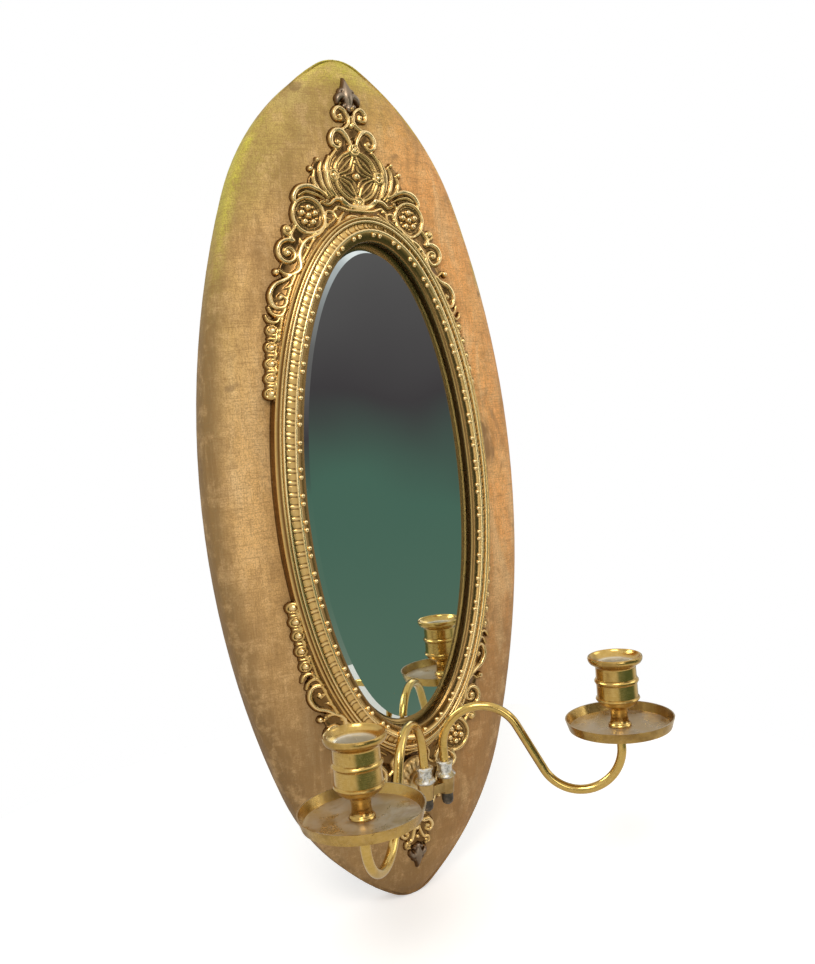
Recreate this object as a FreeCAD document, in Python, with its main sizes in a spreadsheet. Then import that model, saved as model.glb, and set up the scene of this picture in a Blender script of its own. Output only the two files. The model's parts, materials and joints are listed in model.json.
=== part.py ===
"""Girandole mirror: a velvet-covered pointed-oval board, a pressed brass surround round an
oval bevelled mirror, and two swivelling brass candle arms in one cast bracket.

Millimetres. +Z is up, the front faces -Y, and the wall plane is Y = 0.
The origin is the middle of the board's back face.
"""
import FreeCAD, Part
import Sketcher
import math
import os

from FreeCAD import Placement, Rotation, Vector

doc = FreeCAD.newDocument("GirandoleMirror")

# ---------------------------------------------------------------- driving dimensions

DIMENSIONS = [
    # board and its cover
    ("board_height", 600.0, "over the velvet, tip to tip"),
    ("board_width", 254.0, "over the velvet, at the middle"),
    ("side_radius", 600.0, "long side arc of the pointed oval"),
    ("shoulder_height", 205.0, "where the side arc passes into the tip arc"),
    ("tip_round", 32.0, "rounding of each tip"),
    ("board_depth", 26.5, "wall plane to the velvet on the flat middle"),
    ("edge_depth", 11.0, "wall plane to the start of the rounded edge"),
    ("dome_width", 42.0, "width of the padded slope round the board"),
    ("velvet_thick", 1.5, "velvet with its padding"),
    ("lining_thick", 0.8, "cloth lining on the back"),
    ("fold_width", 12.0, "velvet turned over on the back"),
    ("tack_count", 22, "tacks along the turned-over velvet"),
    # mirror
    ("glass_width", 140.4, "oval glass, short axis"),
    ("glass_height", 345.0, "oval glass, long axis"),
    ("glass_thick", 5.0, "mirror plate"),
    ("bevel_width", 9.0, "ground bevel round the plate"),
    ("bevel_drop", 2.2, "how far the bevel falls at the edge"),
    ("backing_thick", 1.5, "board behind the glass"),
    ("glass_lap", 2.5, "how far the surround laps over the glass"),
    ("wedge_count", 8, "cork wedges that centre the glass"),
    # pressed brass surround
    ("sheet_thick", 1.1, "brass sheet of the surround"),
    ("lip_depth", 40.0, "wall plane to the inner lip"),
    ("ridge_depth", 41.9, "wall plane to the ridge that carries the pearls"),
    ("bead_depth", 38.4, "wall plane to the top of the outer double bead"),
    ("cove_depth", 37.0, "wall plane to the foot of the ticked cove"),
    ("ridge_out", 7.4, "lip to ridge, across the moulding"),
    ("cove_out", 12.6, "lip to the foot of the cove"),
    ("rim_out", 17.4, "lip to the outer wall"),
    ("relief_depth", 5.6, "ornament plate, over the velvet"),
    ("strip_width", 9.0, "flange beside the ring, under the bead chains"),
    ("strip_start", 66.0, "height at which a flange starts"),
    ("strip_end", 130.0, "height at which it runs into the scrolls"),
    ("pin_radius", 0.6, "shank of the brass pins"),
    ("pin_head", 1.5, "radius of a pin's domed head"),
    ("pin_length", 14.0, "pin under its head"),
    # candle arm
    ("socket_gap", 17.2, "between the two swivel axes"),
    ("socket_stand", 58.5, "wall plane to the swivel axes"),
    ("socket_top", -203.5, "height of the sockets' top face"),
    ("socket_height", 11.0, "length of a socket"),
    ("socket_radius", 6.1, "outside of a socket at its top"),
    ("socket_foot", 4.9, "outside of a socket at its bottom"),
    ("spindle_radius", 2.95, "swivel pin"),
    ("running_fit", 0.05, "radial clearance of pin in socket"),
    ("face_gap", 0.3, "between faces that turn past each other"),
    ("collar_height", 11.5, "plated ferrule above a socket"),
    ("collar_flange", 7.2, "radius of its lower bead"),
    ("collar_bead", 6.0, "radius of its upper bead"),
    ("collar_waist", 4.9, "radius between the beads"),
    ("tip_radius", 4.1, "acorn nut under a socket"),
    ("tip_height", 8.4, "length of the acorn nut"),
    ("arm_angle", 39.5, "forward swing of an arm from the board, as shown"),
    ("arm_reach", 122.3, "swivel axis to candle axis"),
    ("tube_radius", 3.1, "arm tube"),
    ("tube_wall", 0.9, "wall of the arm tube"),
    ("crook_radius", 27.5, "upper bend of the arm"),
    ("crook_rise", 20.8, "socket top to the upper bend's centre"),
    ("bowl_radius", 28.5, "lower bend of the arm"),
    ("bowl_rise", 14.1, "socket top to the lower bend's centre"),
    # drip pan and nozzle
    ("pan_rise", 28.2, "socket top to the pan's underside"),
    ("pan_radius", 36.75, "rim of the drip pan"),
    ("pan_floor", 34.6, "radius of the pan's floor"),
    ("pan_height", 6.8, "depth of the drip pan"),
    ("pan_wall", 0.9, "sheet of the drip pan"),
    ("candle_radius", 11.1, "bore for a 22 mm candle"),
    ("bore_depth", 22.0, "straight wall of the candle bore"),
    ("nozzle_height", 48.6, "candle nozzle on the pan"),
    ("barrel_radius", 13.7, "barrel of the nozzle"),
    ("rim_radius", 18.4, "flared rim of the nozzle"),
    ("rim_height", 5.0, "height of the flare"),
    ("bowl_height", 5.8, "curved bottom of the barrel"),
    ("stem_height", 12.8, "stem between the pan and the barrel"),
    ("stem_radius", 5.8, "waist of the stem"),
    ("foot_radius", 7.4, "foot ring of the stem"),
    ("band_radius", 1.0, "round of the rings on the barrel"),
    ("stud_radius", 1.9, "threaded stud that joins tube, pan and nozzle"),
    # bracket
    ("rosette_width", 31.0, "oval plate under the bracket"),
    ("rosette_length", 43.0, "the same, top to bottom"),
    ("rosette_depth", 4.2, "depth of that plate"),
    ("rosette_height", -214.0, "height of its centre"),
    ("bolt_height", -209.4, "height of the bracket's neck and bolt"),
    ("neck_radius", 4.6, "neck from plate to sockets"),
    ("bolt_radius", 2.0, "bolt through the board"),
    ("bolt_head", 4.6, "radius of its head"),
    ("bolt_hole", 2.3, "hole for the bolt in board, velvet and plates"),
    ("counterbore", 7.5, "radius of the recess for bolt and washer"),
    ("counterbore_depth", 6.0, "depth of that recess from the wall plane"),
    # hanger
    ("hanger_height", 205.0, "height of the hanging ring's axis"),
    ("ring_radius", 11.0, "hanging ring, to the middle of its wire"),
    ("ring_wire", 1.5, "radius of the ring's wire"),
    ("recess_width", 38.0, "recess in the board's back for the hanger"),
    ("recess_height", 62.0, "height of that recess"),
    ("recess_depth", 8.5, "depth of that recess from the wall plane"),
    ("plate_thick", 1.2, "hanger plate"),
    ("knuckle_radius", 3.1, "knuckle that holds the ring"),
    ("knuckle_bore", 2.1, "hole of the knuckle"),
    ("knuckle_width", 5.0, "length of the knuckle"),
    ("seat_gap", 0.2, "between pieces that lie on each other"),
]

sheet = doc.addObject("Spreadsheet::Sheet", "Sizes")
for row, (alias, value, meaning) in enumerate(DIMENSIONS, start=1):
    sheet.set("A%d" % row, alias)
    sheet.set("B%d" % row, repr(value))
    sheet.set("C%d" % row, meaning)
    sheet.setAlias("B%d" % row, alias)
doc.recompute()


class Size:
    """A number together with the spreadsheet formula that gives it."""

    def __init__(self, value, text):
        self.value = float(value)
        self.text = text

    def __add__(self, other):
        other = as_size(other)
        return Size(self.value + other.value, "(%s + %s)" % (self.text, other.text))

    def __sub__(self, other):
        other = as_size(other)
        return Size(self.value - other.value, "(%s - %s)" % (self.text, other.text))

    def __mul__(self, other):
        other = as_size(other)
        return Size(self.value * other.value, "(%s * %s)" % (self.text, other.text))

    def __truediv__(self, other):
        other = as_size(other)
        return Size(self.value / other.value, "(%s / %s)" % (self.text, other.text))

    def __neg__(self):
        return Size(-self.value, "(-1 * %s)" % self.text)


def as_size(number):
    return number if isinstance(number, Size) else Size(number, repr(float(number)))


def size(alias):
    return Size(sheet.get(alias), "Sizes." + alias)


def mm(alias):
    return float(sheet.get(alias))


ZERO = as_size(0.0)
nodes = {}


def keep(label, obj):
    """Name a finished piece; its label names its file."""
    obj.Label = label
    nodes[label] = obj
    return obj


def bind(obj, **sizes):
    """Tie properties to the sheet: Placement is given as x, y and z."""
    for prop, value in sizes.items():
        value = as_size(value)
        path = "Placement.Base." + prop if prop in ("x", "y", "z") else prop
        if path == prop:
            setattr(obj, prop, value.value)
        obj.setExpression(path, value.text)
    return obj


def primitive(kind, name, **sizes):
    return bind(doc.addObject("Part::" + kind, name), **sizes)


def fuse(name, shapes):
    obj = doc.addObject("Part::MultiFuse", name)
    obj.Shapes = shapes
    return obj


def cut(name, base, tool):
    obj = doc.addObject("Part::Cut", name)
    obj.Base = base
    obj.Tool = tool
    return obj


def drill_along_y(obj):
    """Turn a cylinder or cone so that its axis runs along +Y."""
    obj.Placement = Placement(obj.Placement.Base, Rotation(Vector(1, 0, 0), -90))
    return obj


def solid(name, shape):
    obj = doc.addObject("Part::Feature", name)
    obj.Shape = shape
    return obj


def turned(name, profile):
    """A lathe-turned piece: profile is a closed outline of (radius, height) sizes."""
    body = doc.addObject("PartDesign::Body", name)
    sketch = body.newObject("Sketcher::SketchObject", name + "_profile")
    plane = [f for f in body.Origin.OriginFeatures if f.Role == "XZ_Plane"][0]
    sketch.AttachmentSupport = [(plane, "")]
    sketch.MapMode = "FlatFace"
    points = [(as_size(r), as_size(z)) for r, z in profile]
    count = len(points)
    for i, (r, z) in enumerate(points):
        r_next, z_next = points[(i + 1) % count]
        start = Vector(r.value, z.value, 0)
        end = Vector(r_next.value, z_next.value, 0)
        sketch.addGeometry(Part.LineSegment(start, end), False)
    for i in range(count):
        sketch.addConstraint(Sketcher.Constraint("Coincident", i, 2, (i + 1) % count, 1))
    for i, (r, z) in enumerate(points):
        for kind, axis, value in (("DistanceX", -2, r), ("DistanceY", -1, z)):
            if value.value == 0:
                sketch.addConstraint(Sketcher.Constraint("PointOnObject", i, 1, axis))
                continue
            index = sketch.addConstraint(
                Sketcher.Constraint(kind, -1, 1, i, 1, value.value))
            label = "%s%d" % (kind[-1].lower(), i)
            sketch.renameConstraint(index, label)
            sketch.setExpression("Constraints." + label, value.text)
    spin = body.newObject("PartDesign::Revolution", name + "_turned")
    spin.Profile = sketch
    spin.ReferenceAxis = (sketch, ["V_Axis"])
    spin.Angle = 360.0
    body.Tip = spin
    return body


# ---------------------------------------------------------------- the pointed oval

def arc(a, b, c):
    return Part.Arc(a, b, c).toShape()


def on_circle(centre, radius, degrees):
    t = math.radians(degrees)
    return (centre[0] + radius * math.cos(t), centre[1] + radius * math.sin(t))


def pointed_oval(inset, depth):
    """Closed outline of the board, drawn in by inset, in the plane Y = -depth.

    Each quarter is a long side arc, a tighter arc to the tip and the tip's rounding, all
    tangent. The tip draws in faster than the sides, as the padded slope does.
    """
    tip_share = 1.5
    half_width = mm("board_width") / 2 - inset
    half_height = mm("board_height") / 2 - tip_share * inset
    shoulder = mm("shoulder_height") * half_height / (mm("board_height") / 2)
    tip_round = mm("tip_round")
    side_radius = mm("side_radius")
    side = (half_width - side_radius, 0.0)
    lean = math.degrees(math.asin(shoulder / side_radius))
    joint = on_circle(side, side_radius, lean)
    tip = (0.0, half_height - tip_round)
    normal = (math.cos(math.radians(lean)), math.sin(math.radians(lean)))
    gap = (joint[0] - tip[0], joint[1] - tip[1])
    along = gap[0] * normal[0] + gap[1] * normal[1]
    radius = (gap[0] ** 2 + gap[1] ** 2 - tip_round ** 2) / (2 * (along - tip_round))
    bend = (joint[0] - radius * normal[0], joint[1] - radius * normal[1])
    steep = math.degrees(math.atan2(tip[1] - bend[1], tip[0] - bend[0]))
    touch = on_circle(tip, tip_round, steep)
    middle = on_circle(bend, radius, (lean + steep) / 2)
    side_mid = (half_width, 0.0)
    crown = (0.0, half_height)

    def at(point, sx, sz):
        return Vector(sx * point[0], -depth, sz * point[1])

    edges = [
        arc(at(joint, 1, -1), at(side_mid, 1, 1), at(joint, 1, 1)),
        arc(at(joint, 1, 1), at(middle, 1, 1), at(touch, 1, 1)),
        arc(at(touch, 1, 1), at(crown, 1, 1), at(touch, -1, 1)),
        arc(at(touch, -1, 1), at(middle, -1, 1), at(joint, -1, 1)),
        arc(at(joint, -1, 1), at(side_mid, -1, 1), at(joint, -1, -1)),
        arc(at(joint, -1, -1), at(middle, -1, -1), at(touch, -1, -1)),
        arc(at(touch, -1, -1), at(crown, 1, -1), at(touch, 1, -1)),
        arc(at(touch, 1, -1), at(middle, 1, -1), at(joint, 1, -1)),
    ]
    return Part.Wire(edges)


DOME_STEPS = 6


def dome(grow, back):
    """Solid of the padded board, grown by grow on its front and sides."""
    edge = mm("edge_depth")
    rise = mm("board_depth") - edge
    width = mm("dome_width")
    wires = [pointed_oval(-grow, back), pointed_oval(-grow, edge)]
    for step in range(1, DOME_STEPS + 1):
        part_in = (step / DOME_STEPS) ** 2
        depth = edge + rise * (1 - (1 - part_in) ** 2.2) ** (1 / 2.2)
        wires.append(pointed_oval(width * part_in - grow, depth + grow))
    return Part.makeLoft(wires, True, True)


def slab(inset, near, far):
    """Flat slice of the pointed oval between two depths."""
    face = Part.Face(pointed_oval(inset, near))
    return face.extrude(Vector(0, near - far, 0))


def ellipse_wire(half_width, half_height, depth):
    # An ellipse in the XZ plane whose long axis runs along Z.
    centre = Vector(0, -depth, 0)
    top = Vector(0, -depth, half_height)
    side = Vector(half_width, -depth, 0)
    return Part.Wire([Part.Ellipse(top, side, centre).toShape()])


def oval_plate(name, half_width, half_height, depth, thick):
    """Elliptical plate whose back face is at the given depth from the wall."""
    outline = primitive("Ellipse", name + "_outline", MajorRadius=half_height,
                        MinorRadius=half_width, y=-as_size(depth))
    turn = Rotation(Vector(1, 0, 0), 90).multiply(Rotation(Vector(0, 0, 1), 90))
    outline.Placement = Placement(outline.Placement.Base, turn)
    plate = doc.addObject("Part::Extrusion", name)
    plate.Base = outline
    plate.DirMode = "Custom"
    plate.Dir = Vector(0, -1, 0)
    plate.Solid = True
    bind(plate, LengthFwd=thick)
    return plate


# ---------------------------------------------------------------- board and velvet

lining = mm("lining_thick")
velvet = mm("velvet_thick")
recess_top = mm("hanger_height") + mm("recess_height") / 2

bolt_bore = drill_along_y(primitive(
    "Cylinder", "bolt_bore", Radius=size("bolt_hole"), Height=size("board_depth") * 2,
    y=-size("board_depth") * 2 + 1.0, z=size("bolt_height")))
counterbore = drill_along_y(primitive(
    "Cylinder", "bolt_counterbore", Radius=size("counterbore"),
    Height=size("counterbore_depth") + 1.0, y=-size("counterbore_depth"),
    z=size("bolt_height")))
hanger_recess = primitive(
    "Box", "hanger_recess", Length=size("recess_width"), Height=size("recess_height"),
    Width=size("recess_depth") + 1.0, x=-size("recess_width") / 2,
    y=-size("recess_depth"), z=size("hanger_height") - size("recess_height") / 2)
back_openings = fuse("back_openings", [bolt_bore, counterbore, hanger_recess])

core_shape = dome(-velvet, lining)
rebate = slab(velvet, lining, lining + velvet).cut(
    slab(velvet + mm("fold_width"), lining, lining + velvet))
core_shape = core_shape.cut(rebate)
core = solid("board_core", core_shape)
keep("back_board", cut("back_board_cut", core, back_openings))

cover_shape = dome(0.0, lining).cut(core_shape)
cover = solid("velvet_skin", cover_shape)
keep("velvet_cover", cut("velvet_cover_cut", cover, bolt_bore))

lining_sheet = solid("lining_sheet", slab(velvet + 2.0, 0.0, lining))
keep("back_lining", cut("back_lining_cut", lining_sheet, back_openings))


def tack(point, head_depth):
    """A tack whose flat head lies against the turned-over velvet."""
    head = Part.makeCylinder(2.2, 0.4, point + Vector(0, -head_depth, 0), Vector(0, -1, 0))
    shank = Part.makeCone(0.7, 0.15, 8.0, point + Vector(0, -head_depth - 0.4, 0),
                          Vector(0, -1, 0))
    return head.fuse(shank)


tack_line = pointed_oval(velvet + mm("fold_width") / 2, 0.0)
tack_points = tack_line.discretize(Number=int(mm("tack_count")) + 1)[:-1]
keep("velvet_tacks", solid("velvet_tack_group",
                           Part.makeCompound([tack(p, lining) for p in tack_points])))

# ---------------------------------------------------------------- mirror plate

glass_back = size("board_depth") + size("seat_gap") + size("backing_thick") + size("seat_gap")
half_glass_x = size("glass_width") / 2
half_glass_z = size("glass_height") / 2

keep("mirror_backing", oval_plate("mirror_backing_plate", half_glass_x, half_glass_z,
                                  size("board_depth") + size("seat_gap"),
                                  size("backing_thick")))

glass_front = glass_back.value + mm("glass_thick")
bevel_foot = glass_front - mm("bevel_drop")
glass_lower = Part.makeLoft([
    ellipse_wire(half_glass_x.value, half_glass_z.value, glass_back.value),
    ellipse_wire(half_glass_x.value, half_glass_z.value, bevel_foot),
    ellipse_wire(half_glass_x.value - mm("bevel_width"),
                 half_glass_z.value - mm("bevel_width"), glass_front)], True, True)
keep("mirror_glass", solid("mirror_plate", glass_lower))

# ---------------------------------------------------------------- pressed surround

lip_x = half_glass_x.value - mm("glass_lap")
lip_z = half_glass_z.value - mm("glass_lap")
lip_foot = bevel_foot + mm("bevel_drop") * mm("glass_lap") / mm("bevel_width")
lip_foot += mm("seat_gap")
sheet_thick = mm("sheet_thick")

moulding = [
    (0.0, lip_foot), (0.0, mm("lip_depth")), (mm("ridge_out"), mm("ridge_depth")),
    (mm("cove_out"), mm("cove_depth")), ((mm("cove_out") + mm("rim_out")) / 2,
                                         mm("bead_depth")),
    (mm("rim_out"), mm("cove_depth")), (mm("rim_out"), mm("board_depth") + mm("seat_gap")),
    (mm("rim_out") - sheet_thick, mm("board_depth") + mm("seat_gap")),
    (mm("rim_out") - sheet_thick, mm("cove_depth") - sheet_thick),
    (mm("cove_out"), mm("cove_depth") - sheet_thick),
    (mm("ridge_out"), mm("ridge_depth") - 1.3 * sheet_thick),
    (sheet_thick, mm("lip_depth") - sheet_thick), (sheet_thick, lip_foot),
]


def moulded_ring():
    """The moulded ring: ruled bands between the ovals at the section's corners."""
    ovals = [ellipse_wire(lip_x + out, lip_z + out, depth) for out, depth in moulding]
    bands = [Part.makeRuledSurface(near, far) for near, far in zip(ovals, ovals[1:] + ovals[:1])]
    shell = Part.makeShell([face for band in bands for face in band.Faces])
    shell.sewShape()
    ring = Part.makeSolid(shell if shell.ShapeType == "Shell" else shell.Shells[0])
    if ring.Volume < 0:
        ring.reverse()
    return ring


ring_shape = moulded_ring()

# Discs (x, z, radius) that the scrolls, rosettes and leaves fill, right half and middle.
CREST = [
    (0, 216, 24), (0, 194, 22), (0, 242, 15), (0, 262, 10), (0, 276, 7.5), (0, 283, 4),
    (18, 204, 15), (27, 196, 14), (40.5, 189, 14), (50, 176, 13), (59, 163, 13),
    (62, 148, 9), (68, 135, 9.5), (72, 123, 6.5),
    (76, 112.5, 4.6), (78.5, 101, 4.2), (80, 90, 4), (81, 80, 4), (82.5, 70.5, 4),
]
FOOT = [
    (81.5, -71, 4), (80.5, -80.5, 4), (79, -90, 4), (77, -100, 4.2), (75, -111.5, 4.6),
    (71.5, -124, 6.5), (66, -136, 9), (66, -149, 6), (58, -161, 11.5), (50, -174, 11),
    (40.5, -187, 14), (30, -200, 12), (16, -206, 14), (0, -206, 20), (0, -226, 17),
    (0, -242, 12), (0, -256, 8), (0, -268, 5.5),
]


def oval_prism(out):
    """Solid oval, standing out from the lip by out, deep enough to cut with."""
    face = Part.Face(ellipse_wire(lip_x + out, lip_z + out, 0.0))
    return face.extrude(Vector(0, -2 * mm("lip_depth"), 0))


def bead_strips():
    """Narrow flange beside the ring, above and below, that the bead chains stand on."""
    skirt = oval_prism(mm("rim_out") + mm("strip_width"))
    start, end, wide = mm("strip_start"), mm("strip_end"), mm("board_width")
    boxes = [Part.makeBox(wide, 2 * mm("lip_depth"), end - start,
                          Vector(-wide / 2, -2 * mm("lip_depth"), low))
             for low in (start, -end)]
    return [skirt.common(box) for box in boxes]


def ornament_prism(discs):
    reach = mm("lip_depth")
    solids = bead_strips()
    for x, z, radius in discs:
        for sign in ((1, -1) if x else (1,)):
            solids.append(Part.makeCylinder(radius, reach, Vector(sign * x, 0, z),
                                            Vector(0, -1, 0)))
    return solids[0].multiFuse(solids[1:])


oval_hole = oval_prism(mm("rim_out") - sheet_thick)
relief_skin = dome(mm("relief_depth"), lining).cut(dome(mm("seat_gap"), lining))
ornament = ornament_prism(CREST + FOOT).cut(oval_hole).common(relief_skin)
surround = solid("surround_pressing", ring_shape.fuse(ornament))
surround_cut = cut("surround_cut", surround, bolt_bore)
keep("brass_surround", surround_cut)
doc.recompute()


relief_front = dome(mm("relief_depth"), lining)


def front_of(x, z):
    """Depth of the ornament's front surface at (x, z), where a line along Y meets it."""
    line = Part.makeLine(Vector(x, -1, z), Vector(x, -200, z))
    meetings = [line.distToShape(face) for face in relief_front.Faces]
    return max(-pair[0].y for gap, pairs, kinds in meetings if gap < 1e-4 for pair in pairs)


PIN_PLACES = [(0, 262), (27, 198), (66, 128), (82.5, 71), (81.5, -72), (66, -149),
              (34, -198), (0, -243)]


def pin(x, z):
    """Round-headed brass pin through the ornament into the board."""
    seat = front_of(x, z)
    base = Vector(x, -seat, z)
    head = Part.makeSphere(mm("pin_head"), base + Vector(0, 0.6, 0), Vector(0, -1, 0), 15, 90)
    shank = Part.makeCone(mm("pin_radius"), 0.15, mm("pin_length"), base, Vector(0, 1, 0))
    return head.fuse(shank)


pins = [pin(sign * x, z) for x, z in PIN_PLACES for sign in ((1, -1) if x else (1,))]
keep("surround_pins", solid("surround_pin_group", Part.makeCompound(pins)))


def cork_wedge(turn):
    """Cork block between the glass edge and the outer wall of the surround."""
    t = math.radians(turn)
    gap = mm("seat_gap")
    x = half_glass_x.value * math.cos(t)
    z = half_glass_z.value * math.sin(t)
    out = Vector(math.cos(t) / half_glass_x.value, 0, math.sin(t) / half_glass_z.value)
    out.normalize()
    block = Part.makeBox(5.0, glass_back.value - mm("board_depth") + 2.0, 10.0,
                         Vector(gap + 0.6, -glass_back.value - 2.0, -5.0))
    block.Placement = Placement(Vector(x, 0, z), Rotation(Vector(1, 0, 0), out))
    return block


wedges = [cork_wedge(22.5 + 360.0 * i / mm("wedge_count"))
          for i in range(int(mm("wedge_count")))]
keep("glass_wedges", solid("glass_wedge_group", Part.makeCompound(wedges)))

# ---------------------------------------------------------------- bracket and sockets

plate_depth = front_of(0, mm("rosette_height"))
rosette_seat = as_size(round(plate_depth, 2) + mm("seat_gap"))



def oval_rosette():
    """Pressed oval plate: a flat rim and a domed middle, with a hole for the bolt."""
    half_x, half_z = mm("rosette_width") / 2, mm("rosette_length") / 2
    seat, deep = rosette_seat.value, mm("rosette_depth")
    steps = [(1.0, 0.0), (1.0, 0.35), (0.84, 0.45), (0.62, 1.0)]
    wires = [ellipse_wire(half_x * share, half_z * share, seat + deep * rise)
             for share, rise in steps]
    body = Part.makeLoft(wires, True, True)
    body.translate(Vector(0, 0, mm("rosette_height")))
    return body


rosette = cut("bracket_rosette_cut", solid("bracket_rosette_pressing", oval_rosette()),
              bolt_bore)
keep("bracket_rosette", rosette)

neck_start = rosette_seat.value + mm("rosette_depth") + mm("seat_gap")
neck = drill_along_y(primitive(
    "Cylinder", "bracket_neck", Radius=size("neck_radius"),
    Height=size("socket_stand") - neck_start, y=-size("socket_stand"),
    z=size("bolt_height")))
cross_bar = primitive(
    "Box", "bracket_bar", Length=size("socket_gap"), Width=size("neck_radius") * 1.6,
    Height=size("socket_height") * 0.6, x=-size("socket_gap") / 2,
    y=-size("socket_stand") - size("neck_radius") * 0.8,
    z=size("bolt_height") - size("socket_height") * 0.3)
socket_cones = []
socket_bores = []
for side in (-1, 1):
    cone = primitive(
        "Cone", "socket_cone_%d" % side, Radius1=size("socket_foot"),
        Radius2=size("socket_radius"), Height=size("socket_height"),
        x=size("socket_gap") / 2 * side, y=-size("socket_stand"),
        z=size("socket_top") - size("socket_height"))
    bore = primitive(
        "Cylinder", "socket_bore_%d" % side,
        Radius=size("spindle_radius") + size("running_fit"),
        Height=size("socket_height") + 2.0, x=size("socket_gap") / 2 * side,
        y=-size("socket_stand"), z=size("socket_top") - size("socket_height") - 1.0)
    socket_cones.append(cone)
    socket_bores.append(bore)
bolt_reach = size("socket_stand") - size("neck_radius") - 1.0
bolt_thread = drill_along_y(primitive(
    "Cylinder", "bolt_thread", Radius=size("bolt_radius") + size("running_fit"),
    Height=bolt_reach - neck_start + 2.0, y=-bolt_reach - 0.5,
    z=size("bolt_height")))
bracket_body = fuse("bracket_casting", [neck, cross_bar] + socket_cones)
bracket_holes = fuse("bracket_holes", socket_bores + [bolt_thread])
keep("socket_bracket", cut("socket_bracket_cut", bracket_body, bracket_holes))

washer = turned("bracket_washer_body", [
    (size("bolt_hole"), ZERO), (size("counterbore") - 0.5, ZERO),
    (size("counterbore") - 0.5, as_size(1.0)), (size("bolt_hole"), as_size(1.0))])
washer.Placement = Placement(
    Vector(0, -mm("counterbore_depth") + 0.1, mm("bolt_height")),
    Rotation(Vector(1, 0, 0), -90))
keep("bracket_washer", washer)

bolt_head_depth = size("counterbore_depth") - 1.2
bolt = turned("bracket_bolt_body", [
    (ZERO, ZERO), (size("bolt_head"), ZERO), (size("bolt_head"), as_size(2.4)),
    (size("bolt_radius"), as_size(2.4)),
    (size("bolt_radius"), bolt_reach - bolt_head_depth + 2.4),
    (ZERO, bolt_reach - bolt_head_depth + 2.4)])
bolt.Placement = Placement(
    Vector(0, -bolt_head_depth.value + 2.4, mm("bolt_height")),
    Rotation(Vector(1, 0, 0), 90))
keep("bracket_bolt", bolt)

# ---------------------------------------------------------------- candle arms

ARMS = {"left": -1, "right": 1}


def seat_on_arm(obj, side, along, up):
    """Place a piece on an arm: along its reach and up from the socket's top."""
    swing = -mm("arm_angle") if side > 0 else mm("arm_angle") - 180.0
    t = math.radians(swing)
    x = side * mm("socket_gap") / 2 + along * math.cos(t)
    y = -mm("socket_stand") + along * math.sin(t)
    obj.Placement = Placement(Vector(x, y, mm("socket_top") + up),
                              Rotation(Vector(0, 0, 1), swing))
    return obj


def tube_path():
    """Centre line of the arm in its own upright plane: riser, crook, run, bowl, riser."""
    crook, bowl = mm("crook_radius"), mm("bowl_radius")
    a = (crook, mm("crook_rise"))
    b = (mm("arm_reach") - bowl, mm("bowl_rise"))
    dx, dz = b[0] - a[0], b[1] - a[1]
    span = math.hypot(dx, dz)
    turn = math.degrees(math.atan2(dz, dx) + math.acos((crook + bowl) / span))
    leave = on_circle(a, crook, turn)
    meet = on_circle(b, bowl, turn + 180)

    def at(point):
        return Vector(point[0], 0, point[1])

    start = (0.0, mm("collar_height") * 0.4)
    end = (mm("arm_reach"), mm("pan_rise") - mm("seat_gap"))
    edges = [
        Part.LineSegment(at(start), at((0.0, a[1]))).toShape(),
        arc(at((0.0, a[1])), at(on_circle(a, crook, (180 + turn) / 2)), at(leave)),
        Part.LineSegment(at(leave), at(meet)).toShape(),
        arc(at(meet), at(on_circle(b, bowl, (turn + 180 + 360) / 2)),
            at((mm("arm_reach"), b[1]))),
        Part.LineSegment(at((mm("arm_reach"), b[1])), at(end)).toShape(),
    ]
    return Part.Wire(edges)


def tube_solid():
    path = tube_path()
    start = path.Edges[0].Vertexes[0].Point
    shapes = []
    for radius in (mm("tube_radius"), mm("tube_radius") - mm("tube_wall")):
        ring = Part.Wire([Part.makeCircle(radius, start, Vector(0, 0, 1))])
        shapes.append(path.makePipeShell([ring], True, True))
    return shapes[0].cut(shapes[1])


tube_shape = tube_solid()
tube_plug = size("tube_radius") - size("tube_wall") - size("running_fit")
shoulder = size("collar_height") * 0.4
rim_inner = size("rim_radius") - 0.8
nozzle_top = size("nozzle_height")
barrel_top = nozzle_top - size("rim_height")
barrel_foot = size("stem_height") + size("bowl_height")
bore_floor = barrel_top - size("bore_depth")

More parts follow.
